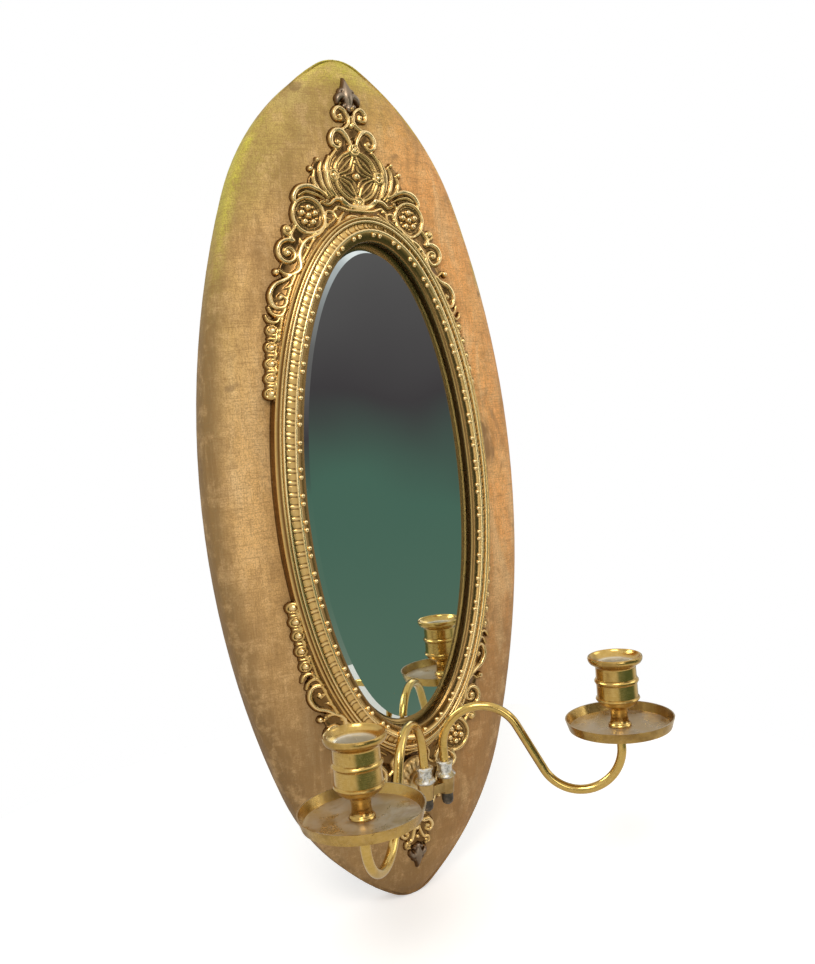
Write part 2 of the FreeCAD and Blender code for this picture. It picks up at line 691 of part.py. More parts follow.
for name, side in ARMS.items():
    tube = solid(name + "_tube", tube_shape)
    keep(name + "_arm_tube", seat_on_arm(tube, side, 0, 0))

    collar = turned(name + "_collar_body", [
        (size("spindle_radius") + size("running_fit"), size("face_gap")),
        (size("collar_flange") - 0.8, size("face_gap")),
        (size("collar_flange"), size("face_gap") + 1.2),
        (size("collar_flange") - 0.6, size("face_gap") + 2.6),
        (size("collar_waist"), size("face_gap") + 3.6),
        (size("collar_waist"), size("collar_height") - 2.6),
        (size("collar_bead"), size("collar_height") - 1.8),
        (size("collar_bead"), size("collar_height") - 0.6),
        (size("collar_bead") - 0.8, size("collar_height")),
        (size("tube_radius") + size("running_fit"), size("collar_height")),
        (size("tube_radius") + size("running_fit"), shoulder),
        (size("spindle_radius") + size("running_fit"), shoulder)])
    keep(name + "_collar", seat_on_arm(collar, side, 0, 0))

    pin_foot = size("socket_height") + size("face_gap") + size("tip_height") * 0.55
    spindle = turned(name + "_spindle_body", [
        (ZERO, ZERO), (size("spindle_radius"), ZERO),
        (size("spindle_radius"), pin_foot + shoulder - size("face_gap")),
        (tube_plug, pin_foot + shoulder - size("face_gap")),
        (tube_plug, pin_foot + size("collar_height")),
        (ZERO, pin_foot + size("collar_height"))])
    keep(name + "_spindle", seat_on_arm(spindle, side, 0, -pin_foot.value))

    nut_bore = size("spindle_radius") + size("running_fit")
    acorn = turned(name + "_acorn_body", [
        (ZERO, ZERO), (size("tip_radius") * 0.55, size("tip_height") * 0.04),
        (size("tip_radius") * 0.88, size("tip_height") * 0.2),
        (size("tip_radius"), size("tip_height") * 0.45),
        (size("tip_radius"), size("tip_height")), (nut_bore, size("tip_height")),
        (nut_bore, size("tip_height") * 0.42), (ZERO, size("tip_height") * 0.42)])
    acorn_drop = mm("socket_height") + mm("face_gap") + mm("tip_height")
    keep(name + "_acorn_nut", seat_on_arm(acorn, side, 0, -acorn_drop))

    pan = turned(name + "_pan_body", [
        (size("stud_radius") + size("seat_gap"), ZERO), (size("pan_floor"), ZERO),
        (size("pan_radius"), size("pan_height")),
        (size("pan_radius") - size("pan_wall"), size("pan_height")),
        (size("pan_floor") - size("pan_wall"), size("pan_wall")),
        (size("stud_radius") + size("seat_gap"), size("pan_wall"))])
    keep(name + "_drip_pan", seat_on_arm(pan, side, mm("arm_reach"), mm("pan_rise")))

    nozzle = turned(name + "_nozzle_body", [
        (size("stud_radius") + size("running_fit"), ZERO),
        (size("foot_radius") - 0.6, ZERO), (size("foot_radius"), as_size(1.0)),
        (size("foot_radius") - 0.4, as_size(2.6)), (size("stem_radius"), as_size(4.0)),
        (size("stem_radius") + 0.5, size("stem_height")),
        (size("barrel_radius") * 0.75, size("stem_height") + size("bowl_height") * 0.3),
        (size("barrel_radius"), barrel_foot), (size("barrel_radius") - 0.4, barrel_top),
        (size("rim_radius"), nozzle_top - 0.6), (size("rim_radius"), nozzle_top),
        (rim_inner, nozzle_top), (size("candle_radius"), barrel_top),
        (size("candle_radius"), bore_floor), (ZERO, bore_floor),
        (ZERO, size("stem_height")), (size("stud_radius") + size("running_fit"),
                                      size("stem_height"))])
    rings = []
    for i, height in enumerate((barrel_foot, barrel_foot + size("bore_depth") * 0.5,
                                barrel_foot + size("bore_depth") * 0.62)):
        rings.append(primitive("Torus", "%s_barrel_ring_%d" % (name, i),
                               Radius1=size("barrel_radius") - 0.2,
                               Radius2=size("band_radius"), z=height))
    nozzle_all = fuse(name + "_nozzle_fused", [nozzle] + rings)
    keep(name + "_nozzle", seat_on_arm(nozzle_all, side, mm("arm_reach"),
                                       mm("pan_rise") + mm("pan_wall") + 0.05))

    stud = turned(name + "_stud_body", [
        (ZERO, ZERO), (size("stud_radius"), ZERO), (size("stud_radius"), as_size(16.0)),
        (ZERO, as_size(16.0))])
    keep(name + "_stud", seat_on_arm(stud, side, mm("arm_reach"), mm("pan_rise") - 5.0))

# ---------------------------------------------------------------- hanger

floor = size("recess_depth")
axis_depth = floor - size("plate_thick") - size("knuckle_radius") - 0.2
plate = primitive("Box", "hanger_base", Length=as_size(32.0), Width=size("plate_thick"),
                  Height=as_size(18.0), x=as_size(-16.0), y=-floor + 0.1,
                  z=size("hanger_height") - 9.0)
knuckle = primitive("Cylinder", "hanger_knuckle", Radius=size("knuckle_radius"),
                    Height=size("knuckle_width"), x=-size("knuckle_width") / 2,
                    y=-axis_depth, z=size("hanger_height"))
knuckle.Placement = Placement(knuckle.Placement.Base, Rotation(Vector(0, 1, 0), 90))
saddle = primitive("Box", "hanger_saddle", Length=size("knuckle_width"),
                   Width=floor - axis_depth - 0.1, Height=size("knuckle_radius") * 1.6,
                   x=-size("knuckle_width") / 2, y=-floor + 0.1,
                   z=size("hanger_height") - size("knuckle_radius") * 0.8)
knuckle_hole = primitive("Cylinder", "hanger_knuckle_hole", Radius=size("knuckle_bore"),
                         Height=size("knuckle_width") + 2.0,
                         x=-size("knuckle_width") / 2 - 1.0, y=-axis_depth,
                         z=size("hanger_height"))
knuckle_hole.Placement = Placement(knuckle_hole.Placement.Base,
                                   Rotation(Vector(0, 1, 0), 90))
screw_holes = []
screws = []
for i, x in enumerate((-11.0, 11.0)):
    screw_holes.append(drill_along_y(primitive(
        "Cylinder", "hanger_screw_hole_%d" % i, Radius=as_size(1.6),
        Height=size("plate_thick") + 2.0, x=as_size(x), y=-floor - 1.0,
        z=size("hanger_height"))))
    head = drill_along_y(primitive("Cone", "hanger_screw_head_%d" % i, Radius1=as_size(1.4),
                                   Radius2=as_size(2.9), Height=as_size(1.4), x=as_size(x),
                                   y=-floor + size("plate_thick") + 0.15,
                                   z=size("hanger_height")))
    shank = drill_along_y(primitive("Cylinder", "hanger_screw_shank_%d" % i,
                                    Radius=as_size(1.4), Height=as_size(12.0),
                                    x=as_size(x), y=-floor + size("plate_thick")
                                    + 0.15 - 12.0, z=size("hanger_height")))
    screws.append(fuse("hanger_screw_%d" % i, [head, shank]))
hanger_body = fuse("hanger_body", [plate, knuckle, saddle])
hanger_holes = fuse("hanger_holes", [knuckle_hole] + screw_holes)
keep("hanger_plate", cut("hanger_plate_cut", hanger_body, hanger_holes))
screw_group = doc.addObject("Part::Compound", "hanger_screw_group")
screw_group.Links = screws
keep("hanger_screws", screw_group)

ring = primitive("Torus", "hanging_ring_torus", Radius1=size("ring_radius"),
                 Radius2=size("ring_wire"), y=-axis_depth,
                 z=size("hanger_height") - size("ring_radius"))
ring.Placement = Placement(ring.Placement.Base, Rotation(Vector(1, 0, 0), 90))
keep("hanging_ring", ring)

# ---------------------------------------------------------------- check and write

doc.recompute()

faults = []
for obj in doc.Objects:
    if "Invalid" in obj.State or "Error" in obj.State:
        faults.append("%s is %s" % (obj.Name, obj.State))
for label, obj in nodes.items():
    shape = obj.Shape
    if shape.isNull() or not shape.isValid() or not shape.Solids:
        faults.append(label + " has no valid solid")
    elif min(s.Volume for s in shape.Solids) <= 0:
        faults.append(label + " is inside out")
if faults:
    raise RuntimeError("; ".join(faults))

os.makedirs("parts", exist_ok=True)
for label, obj in nodes.items():
    obj.Shape.exportStep("parts/%s.step" % label)
    print("%-18s %2d solid(s) %10.1f mm3" % (label, len(obj.Shape.Solids), obj.Shape.Volume))

path = tube_path()
print("arm tube: volume %.1f, section times length %.1f" % (
    tube_shape.Volume,
    math.pi * (mm("tube_radius") ** 2 - (mm("tube_radius") - mm("tube_wall")) ** 2)
    * path.Length))
print("%d nodes" % len(nodes))
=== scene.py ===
# %% [markdown]
# # A girandole mirror
# A velvet-covered board carries a bevelled oval glass in a pressed brass surround, and a
# bracket with two swivelling candle arms. The engineering model is loaded first as a
# fixed frame. Everything after it is looks: finishes for the parts whose shape is right
# already, and finer pieces where the real ones have more shape than the frame does.

# %% Load the frame
import json
import math

import bmesh
import bpy
import numpy as np
from mathutils import Euler, Matrix, Vector, noise
from mathutils.bvhtree import BVHTree


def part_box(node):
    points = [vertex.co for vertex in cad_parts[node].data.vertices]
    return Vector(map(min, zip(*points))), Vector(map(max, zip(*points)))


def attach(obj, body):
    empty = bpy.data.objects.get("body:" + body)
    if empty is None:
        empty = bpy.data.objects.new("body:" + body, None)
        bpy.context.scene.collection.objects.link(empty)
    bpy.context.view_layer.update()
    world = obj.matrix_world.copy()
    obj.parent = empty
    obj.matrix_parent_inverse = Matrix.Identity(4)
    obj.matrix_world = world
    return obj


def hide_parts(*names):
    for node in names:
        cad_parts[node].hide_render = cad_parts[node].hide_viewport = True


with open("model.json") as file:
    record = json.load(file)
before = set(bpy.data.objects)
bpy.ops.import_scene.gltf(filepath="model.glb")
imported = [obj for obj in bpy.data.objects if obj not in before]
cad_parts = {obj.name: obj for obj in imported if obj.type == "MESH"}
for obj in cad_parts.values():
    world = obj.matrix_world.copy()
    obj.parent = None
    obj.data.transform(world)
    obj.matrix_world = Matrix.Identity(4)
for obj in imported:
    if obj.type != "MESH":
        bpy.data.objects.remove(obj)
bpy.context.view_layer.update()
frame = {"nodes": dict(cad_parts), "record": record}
scene = bpy.context.scene
MM = 0.001

# %% [markdown]
# ## Camera
# A camera is easiest to place by the numbers that a photographer would give: where it
# stands, how far it is turned, tipped and leaned, and its lens. The object leans a little
# in its picture, so the camera leans instead and the object stays upright in its frame.

# %% Camera
CAMERA_PLACE = Vector((-0.3522, -0.5911, 0.0428))
CAMERA_TURN, CAMERA_TIP, CAMERA_LEAN = (math.radians(a) for a in (-33.426, -3.474, 5.258))
LENS, SENSOR = 41.54, 36.0

camera_data = bpy.data.cameras.new("camera")
camera_data.sensor_fit = "HORIZONTAL"
camera_data.sensor_width = SENSOR
camera_data.lens = LENS
camera_data.clip_start = 0.01
camera = bpy.data.objects.new("camera", camera_data)
scene.collection.objects.link(camera)
turn = Matrix.Rotation(CAMERA_TURN, 4, "Z") @ Matrix.Rotation(CAMERA_TIP, 4, "X")
turn = turn @ Matrix.Rotation(CAMERA_LEAN, 4, "Y") @ Matrix.Rotation(math.pi / 2, 4, "X")
camera.matrix_world = Matrix.Translation(CAMERA_PLACE) @ turn
scene.camera = camera
scene.view_settings.view_transform = "Standard"

# %% [markdown]
# ## Small helpers
# Node materials are graphs, and a graph is easier to read when each line adds one node.
# `Graph` keeps a material's nodes and links together, so that a finish below reads like
# a recipe.


# %% Material helper
class Graph:
    """A material and short ways to add nodes to it."""

    def __init__(self, name):
        self.material = bpy.data.materials.new(name)
        self.material.use_nodes = True
        self.nodes = self.material.node_tree.nodes
        self.links = self.material.node_tree.links
        self.shader = self.nodes["Principled BSDF"]
        self.place = self.nodes.new("ShaderNodeTexCoord").outputs["Object"]

    def plug(self, value, socket):
        if isinstance(value, bpy.types.NodeSocket):
            self.links.new(value, socket)
        else:
            socket.default_value = value

    def math(self, kind, first, second=0.0, clamp=False):
        node = self.nodes.new("ShaderNodeMath")
        node.operation = kind
        node.use_clamp = clamp
        self.plug(first, node.inputs[0])
        self.plug(second, node.inputs[1])
        return node.outputs[0]

    def mapping(self, scale=(1, 1, 1), move=(0, 0, 0), source=None):
        node = self.nodes.new("ShaderNodeMapping")
        self.links.new(source or self.place, node.inputs["Vector"])
        node.inputs["Scale"].default_value = scale
        node.inputs["Location"].default_value = move
        return node.outputs["Vector"]

    def split(self, source=None):
        node = self.nodes.new("ShaderNodeSeparateXYZ")
        self.links.new(source or self.place, node.inputs[0])
        return node.outputs

    def noise(self, scale, detail=3.0, rough=0.55, source=None, warp=0.0):
        node = self.nodes.new("ShaderNodeTexNoise")
        self.links.new(source or self.place, node.inputs["Vector"])
        node.inputs["Scale"].default_value = scale
        node.inputs["Detail"].default_value = detail
        node.inputs["Roughness"].default_value = rough
        node.inputs["Distortion"].default_value = warp
        return node.outputs["Fac"]

    def ramp(self, value, *stops):
        node = self.nodes.new("ShaderNodeValToRGB")
        self.plug(value, node.inputs[0])
        band = node.color_ramp
        while len(band.elements) < len(stops):
            band.elements.new(0.5)
        for element, (at, colour) in zip(band.elements, stops):
            element.position = at
            grey = not hasattr(colour, "__len__")
            element.color = (colour,) * 3 + (1,) if grey else tuple(colour) + (1,)
        return node.outputs[0]

    def mix(self, share, first, second, kind="MIX"):
        node = self.nodes.new("ShaderNodeMix")
        node.data_type = "RGBA"
        node.blend_type = kind
        self.plug(share, node.inputs[0])
        for value, socket in ((first, node.inputs[6]), (second, node.inputs[7])):
            is_colour = hasattr(value, "__len__")
            self.plug(tuple(value) + (1,) if is_colour else value, socket)
        return node.outputs[2]

    def range(self, value, low, high, out_low=0.0, out_high=1.0):
        node = self.nodes.new("ShaderNodeMapRange")
        node.interpolation_type = "SMOOTHSTEP"
        for item, socket in zip((value, low, high, out_low, out_high), node.inputs):
            self.plug(item, socket)
        return node.outputs[0]

    def attribute(self, name):
        node = self.nodes.new("ShaderNodeAttribute")
        node.attribute_name = name
        return node.outputs["Fac"]

    def pointiness(self):
        return self.nodes.new("ShaderNodeNewGeometry").outputs["Pointiness"]

    def facing_up(self):
        normal = self.nodes.new("ShaderNodeNewGeometry").outputs["Normal"]
        return self.split(normal)[2]

    def bump(self, height, strength, distance, under=None):
        node = self.nodes.new("ShaderNodeBump")
        node.inputs["Strength"].default_value = strength
        node.inputs["Distance"].default_value = distance
        self.plug(height, node.inputs["Height"])
        if under is not None:
            self.links.new(under, node.inputs["Normal"])
        return node.outputs[0]

    def finish(self, colour=None, rough=None, normal=None, **plain):
        for value, name in ((colour, "Base Color"), (rough, "Roughness"), (normal, "Normal")):
            if value is not None:
                is_colour = hasattr(value, "__len__") and len(value) == 3
                self.plug(tuple(value) + (1,) if is_colour else value,
                          self.shader.inputs[name])
        for name, value in plain.items():
            self.shader.inputs[name.replace("_", " ").title()].default_value = value
        return self.material


# %% [markdown]
# ## Brass
# Old brass is three colours at once: bright metal where hands and cloths rub it, warm
# gold on the flats, and brown patina in the hollows. Pointiness finds edges and hollows
# on any mesh. On the pressed relief, an attribute stored with the mesh says how high each
# point stands, which is steadier than pointiness on so fine a pattern.


# %% Brass finishes
BRIGHT, GOLD, PATINA = (0.98, 0.74, 0.37), (0.70, 0.445, 0.145), (0.150, 0.075, 0.024)


def brass(name, gloss=0.26, patina=0.5, height=None, turned_about=None, grey=0.0, tint=GOLD,
          bore=None, edges=False, bright=BRIGHT):
    """Aged brass. patina is how much of the surface it covers, from 0 to 1."""
    g = Graph(name)
    blotch = g.noise(38.0, 5.0, 0.62)
    fine = g.noise(420.0, 4.0, 0.6)
    spots = g.noise(150.0, 3.0, 0.7, warp=0.6)
    if height:
        wear_and_shade = g.attribute(height)
        edge = g.range(wear_and_shade, 0.02, 0.62, 0.10, 1.0)
        edge = g.math("ADD", edge, g.math("MULTIPLY", g.math("SUBTRACT", spots, 0.5), 0.08), True)
        rim = g.range(wear_and_shade, 0.60, 0.98)
    elif edges:
        point = g.pointiness()
        edge = g.range(point, 0.42, 0.49, 0.35, 1.0)
        rim = g.range(point, 0.54, 0.64, 0.0, 0.6)
    else:
        edge, rim = 1.0, 0.0
    cover = g.math("MULTIPLY", g.range(blotch, 0.62 - 0.3 * patina, 0.80), 0.75 * patina + 0.1)
    speck = g.math("MULTIPLY", g.range(spots, 0.60, 0.74), 0.55 * patina)
    cover = g.math("MAXIMUM", cover, speck)
    flat = g.mix(g.range(fine, 0.35, 0.7, 0.0, 0.15), tint, bright)
    colour = g.mix(cover, flat, PATINA)
    colour = g.mix(edge, PATINA, colour)
    colour = g.mix(g.math("MULTIPLY", rim, 0.75), colour, bright)
    if grey:
        up = g.range(g.facing_up(), 0.5, 0.9)
        film = g.math("MULTIPLY", up, g.range(g.noise(42.0, 5.0, 0.65, warp=0.5), 0.32, 0.58, 0.30, 1.0))
        film = g.math("MULTIPLY", film, grey)
        dust = g.mix(g.range(blotch, 0.4, 0.6), (0.42, 0.32, 0.20), (0.60, 0.53, 0.43))
        colour = g.mix(film, colour, dust)
    rough = g.range(cover, 0.0, 1.0, gloss, 0.62)
    if grey:
        rough = g.math("MAXIMUM", rough, g.math("MULTIPLY", film, 0.55))
    rough = g.math("ADD", rough, g.math("MULTIPLY", g.math("SUBTRACT", fine, 0.5), 0.14))
    normal = g.bump(fine, 0.06, 0.0003)
    normal = g.bump(blotch, 0.10, 0.0015, normal)
    if turned_about:
        x, y = turned_about
        at = g.split(g.mapping(move=(-x, -y, 0.0)))
        out = g.math("SQRT", g.math("ADD", g.math("MULTIPLY", at[0], at[0]),
                                    g.math("MULTIPLY", at[1], at[1])))
        lines = g.math("SINE", g.math("ADD", g.math("MULTIPLY", out, 5200.0),
                                      g.math("MULTIPLY", at[2], 5200.0)))
        normal = g.bump(lines, 0.04, 0.00006, normal)
        # Painted sheen: inside the bore the brass is painted pale grey and made less metallic, so the bore reads
        # pale instead of dark.
        if bore:
            radius, floor = bore
            painted_bore_sheen = g.math("MULTIPLY", g.range(out, radius + 0.0022, radius),
                            g.range(at[2], floor, floor + 0.001))
            colour = g.mix(g.math("MULTIPLY", painted_bore_sheen, 0.85), colour,
                           g.mix(g.range(blotch, 0.42, 0.58), (0.66, 0.62, 0.50), (0.86, 0.84, 0.76)))
    metal = 1.0
    if grey:
        metal = g.math("SUBTRACT", 1.0, g.math("MULTIPLY", film, 0.75))
    if bore:
        metal = g.math("SUBTRACT", 1.0, g.math("MULTIPLY", painted_bore_sheen, 0.7))
    g.plug(metal, g.shader.inputs["Metallic"])
    return g.finish(colour, rough, normal)


pressed_brass = brass("pressed_brass", 0.25, 0.22, height="polish_and_shade")
cast_brass = brass("cast_brass", 0.34, 0.85, tint=(0.50, 0.33, 0.12))
tube_brass = brass("tube_brass", 0.18, 0.40, tint=(0.62, 0.41, 0.11))
dark_leaf = brass("dark_leaf", 0.36, 0.80, height="polish_and_shade", tint=(0.17, 0.115, 0.075),
                  bright=(0.34, 0.26, 0.18))
print("brass finishes made")

# %% [markdown]
# Spun and turned pieces keep the fine rings that the tool left, so their finish adds a
# wave that depends only on the distance from each piece's own axis. The pans have held
# wax and dust for years, which is a grey film wherever the metal faces up.

# %% Finishes for the arms
record = frame["record"]
SOCKET_AXIS = {side: next(m["pos_m"] for m in record["mounts"]
                          if m["name"] == side + "_candle_socket") for side in ("left", "right")}
BORE_RADIUS, BORE_LENGTH = 0.0111, 0.022
turned_brass = {side: brass("turned_brass_" + side, 0.22, 0.62, edges=True, tint=(0.58, 0.37, 0.10),
                            turned_about=SOCKET_AXIS[side][:2],
                            bore=(BORE_RADIUS, SOCKET_AXIS[side][2] - BORE_LENGTH / 2 - 0.002))
                for side in SOCKET_AXIS}
pan_brass = {side: brass("pan_brass_" + side, 0.20, 0.95, grey=0.66, tint=(0.56, 0.36, 0.10),
                         turned_about=SOCKET_AXIS[side][:2]) for side in SOCKET_AXIS}


def worn_plating():
    """White plating on the ferrules, rubbed through to brass in patches."""
    g = Graph("worn_plating")
    rubbed = g.range(g.noise(240.0, 4.0, 0.65), 0.50, 0.62)
    grime = g.range(g.noise(330.0, 4.0, 0.6, warp=0.4), 0.34, 0.50, 0.35, 1.0)
    colour = g.mix(rubbed, (0.80, 0.78, 0.72), (0.62, 0.50, 0.27))
    colour = g.mix(grime, (0.13, 0.11, 0.075), colour)
    rough = g.range(rubbed, 0.0, 1.0, 0.36, 0.5)
    return g.finish(colour, rough, g.bump(rubbed, 0.2, 0.0002), metallic=1.0)


def dark_metal(name, colour, rough):
    """Blackened or plain iron with a fine mottle."""
    g = Graph(name)
    mottle = g.noise(260.0, 4.0, 0.6)
    shade = g.mix(g.range(mottle, 0.35, 0.7), colour, tuple(2.2 * c for c in colour))
    shade = g.mix(g.range(mottle, 0.62, 0.74, 0.0, 0.6), shade, (0.45, 0.34, 0.18))
    return g.finish(shade, rough, g.bump(mottle, 0.25, 0.0003), metallic=0.9)


plated = worn_plating()
dark_nut = dark_metal("dark_nut", (0.060, 0.050, 0.038), 0.42)
iron = dark_metal("iron", (0.16, 0.15, 0.14), 0.45)


# %% [markdown]
# ## Plain finishes for the back
# The back of the mirror is never seen on the wall, but it is seen on the bench: sawn
# softwood, black lining cloth, grey card behind the glass and cork blocks round it.


# %% Wood, lining, card, cork
def sawn_wood():
    g = Graph("sawn_wood")
    rings = g.noise(1.0, 4.0, 0.6, g.mapping((60.0, 60.0, 5.0)), 1.2)
    colour = g.mix(rings, (0.36, 0.22, 0.11), (0.58, 0.40, 0.22))
    return g.finish(colour, 0.75, g.bump(rings, 0.3, 0.0006))


def woven(name, dark, light, thread_mm, rough=0.9):
    """Plain weave: two waves at right angles, over and under each other."""
    g = Graph(name)
    at = g.split()
    pitch = 2.0 * math.pi / (thread_mm * MM)
    warp = g.math("SINE", g.math("MULTIPLY", at[0], pitch))
    weft = g.math("SINE", g.math("MULTIPLY", at[2], pitch))
    cloth = g.math("MULTIPLY", warp, weft)
    fleck = g.noise(700.0, 3.0, 0.6)
    colour = g.mix(g.range(fleck, 0.3, 0.7), dark, light)
    return g.finish(colour, rough, g.bump(cloth, 0.3, 0.0003), sheen_weight=0.2)


def speckled(name, dark, light, scale, rough):
    g = Graph(name)
    grain = g.noise(scale, 5.0, 0.7)
    colour = g.mix(g.range(grain, 0.35, 0.65), dark, light)
    return g.finish(colour, rough, g.bump(grain, 0.35, 0.0004))


plain_finish = {
    "back_board": sawn_wood(),
    "back_lining": woven("lining_cloth", (0.020, 0.017, 0.015), (0.050, 0.042, 0.034), 0.9),
    "mirror_backing": speckled("backing_card", (0.30, 0.25, 0.19), (0.42, 0.36, 0.28), 260.0, 0.9),
    "glass_wedges": speckled("cork", (0.30, 0.17, 0.08), (0.60, 0.40, 0.22), 500.0, 0.85),
    "velvet_tacks": iron, "bracket_washer": iron, "bracket_bolt": iron, "hanger_screws": iron,
    "bracket_rosette": cast_brass, "socket_bracket": cast_brass, "hanger_plate": cast_brass,
    "hanging_ring": cast_brass, "surround_pins": cast_brass,
}


# %% [markdown]
# ## The mirror plate
# Silvered glass is a perfect mirror seen through a slightly green sheet, so a metal with
# almost no roughness stands for both. Age shows as pinprick spots, fine scratches, and
# silver that has gone brown along the edge. The edge is found from the oval itself: the
# point's place divided by the half axes is 1 on the rim.


# %% Mirror
def old_mirror():
    low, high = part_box("mirror_glass")
    half_x, half_z = high.x, high.z
    g = Graph("old_mirror")
    at = g.split(g.mapping((1.0 / half_x, 1.0, 1.0 / half_z)))
    out = g.math("SQRT", g.math("ADD", g.math("MULTIPLY", at[0], at[0]),
                                g.math("MULTIPLY", at[2], at[2])))
    uneven = g.math("ADD", out, g.math("MULTIPLY", g.math("SUBTRACT", g.noise(60.0), 0.5), 0.05))
    fogged = g.range(uneven, 0.965, 1.0)
    spots = g.range(g.noise(900.0, 2.0, 0.5), 0.72, 0.78)
    streak = g.noise(1.0, 4.0, 0.6, g.mapping((900.0, 900.0, 26.0)))
    scratch = g.range(streak, 0.70, 0.74)
    colour = g.mix(g.math("MULTIPLY", fogged, 0.5), (0.80, 0.86, 0.83), (0.26, 0.22, 0.15))
    colour = g.mix(g.math("MULTIPLY", spots, 0.5), colour, (0.62, 0.60, 0.52))
    rough = g.math("ADD", 0.012, g.math("MULTIPLY", g.math("MAXIMUM", spots, fogged), 0.16))
    rough = g.math("ADD", rough, g.math("MULTIPLY", scratch, 0.06))
    return g.finish(colour, rough, metallic=1.0)


plain_finish["mirror_glass"] = old_mirror()

# %% Give the frame's own pieces their finishes
arm_finish = {"arm_tube": tube_brass, "collar": plated, "spindle": iron,
              "acorn_nut": dark_nut, "stud": iron}


def dress(node, material):
    """Swap a frame piece's material for a finished one."""
    piece = frame["nodes"][node]
    piece.data.materials.clear()
    piece.data.materials.append(material)


for node, material in plain_finish.items():
    dress(node, material)
for side in ("left", "right"):
    for part, material in arm_finish.items():
        dress(side + "_" + part, material)
    dress(side + "_drip_pan", pan_brass[side])
    dress(side + "_nozzle", turned_brass[side])
print("dressed", len(frame["nodes"]), "frame pieces")


# %% [markdown]
# ## Making a piece
# A finished piece is a bmesh written to a mesh, smooth shaded, given its material, and
# tied to the body that carries it. Its object stays at the origin: its place is in the
# mesh, as it is for the pieces of the frame.


# %% Finish a piece
def make_piece(name, bm, body, material, replaces=None):
    mesh = bpy.data.meshes.new(name)
    bm.to_mesh(mesh)
    bm.free()
    mesh.polygons.foreach_set("use_smooth", [True] * len(mesh.polygons))
    piece = bpy.data.objects.new(name, mesh)
    scene.collection.objects.link(piece)
    mesh.materials.append(material)
    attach(piece, body)
    if replaces:
        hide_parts(replaces)
    print(name, len(mesh.polygons), "faces")
    return piece


# %% [markdown]
# ## Feeling for the board's surface
# Velvet and ornament both lie on the padded front of the board. Rather than repeat its
# formula, a ray is dropped onto the frame's own velvet from in front. Near the outline
# the ray misses, so it is asked again a little further in.


# %% Board surface
velvet_node = frame["nodes"]["velvet_cover"]
velvet_tree = BVHTree.FromPolygons([v.co for v in velvet_node.data.vertices],
                                   [tuple(p.vertices) for p in velvet_node.data.polygons])
board_low, board_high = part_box("velvet_cover")
HALF_HEIGHT = board_high.z
RIM_Y = -13.4 * MM


def front_y(x, z):
    """Y of the velvet's front at (x, z)."""
    for share in (1.0, 0.996, 0.99, 0.98):
        hit = velvet_tree.ray_cast(Vector((x * share, -0.3, z * share)), Vector((0, 1, 0)))[0]
        if hit and hit.y < RIM_Y:
            return hit.y
    return RIM_Y


def half_width(z):
    """Half width of the board at height z, read from its side wall."""
    hit = velvet_tree.ray_cast(Vector((0.3, RIM_Y * 0.6, z)), Vector((-1, 0, 0)))[0]
    return hit.x if hit else 0.0


print("board half width", round(half_width(0.0), 4), "front at", round(front_y(0.0, 0.2), 4))


# %% [markdown]
# ## Velvet
# The cover is one length of cotton velvet pulled over thin padding and turned to the
# back. A flat grid is squeezed to the board's outline and laid on its front, with rows
# and columns closer together at the rim, where the slope is steep. Slow noise gives the
# padding its slight unevenness. The rim is then extruded down the side and turned under.

# %% Velvet finish
FOLD = 12.0 * MM


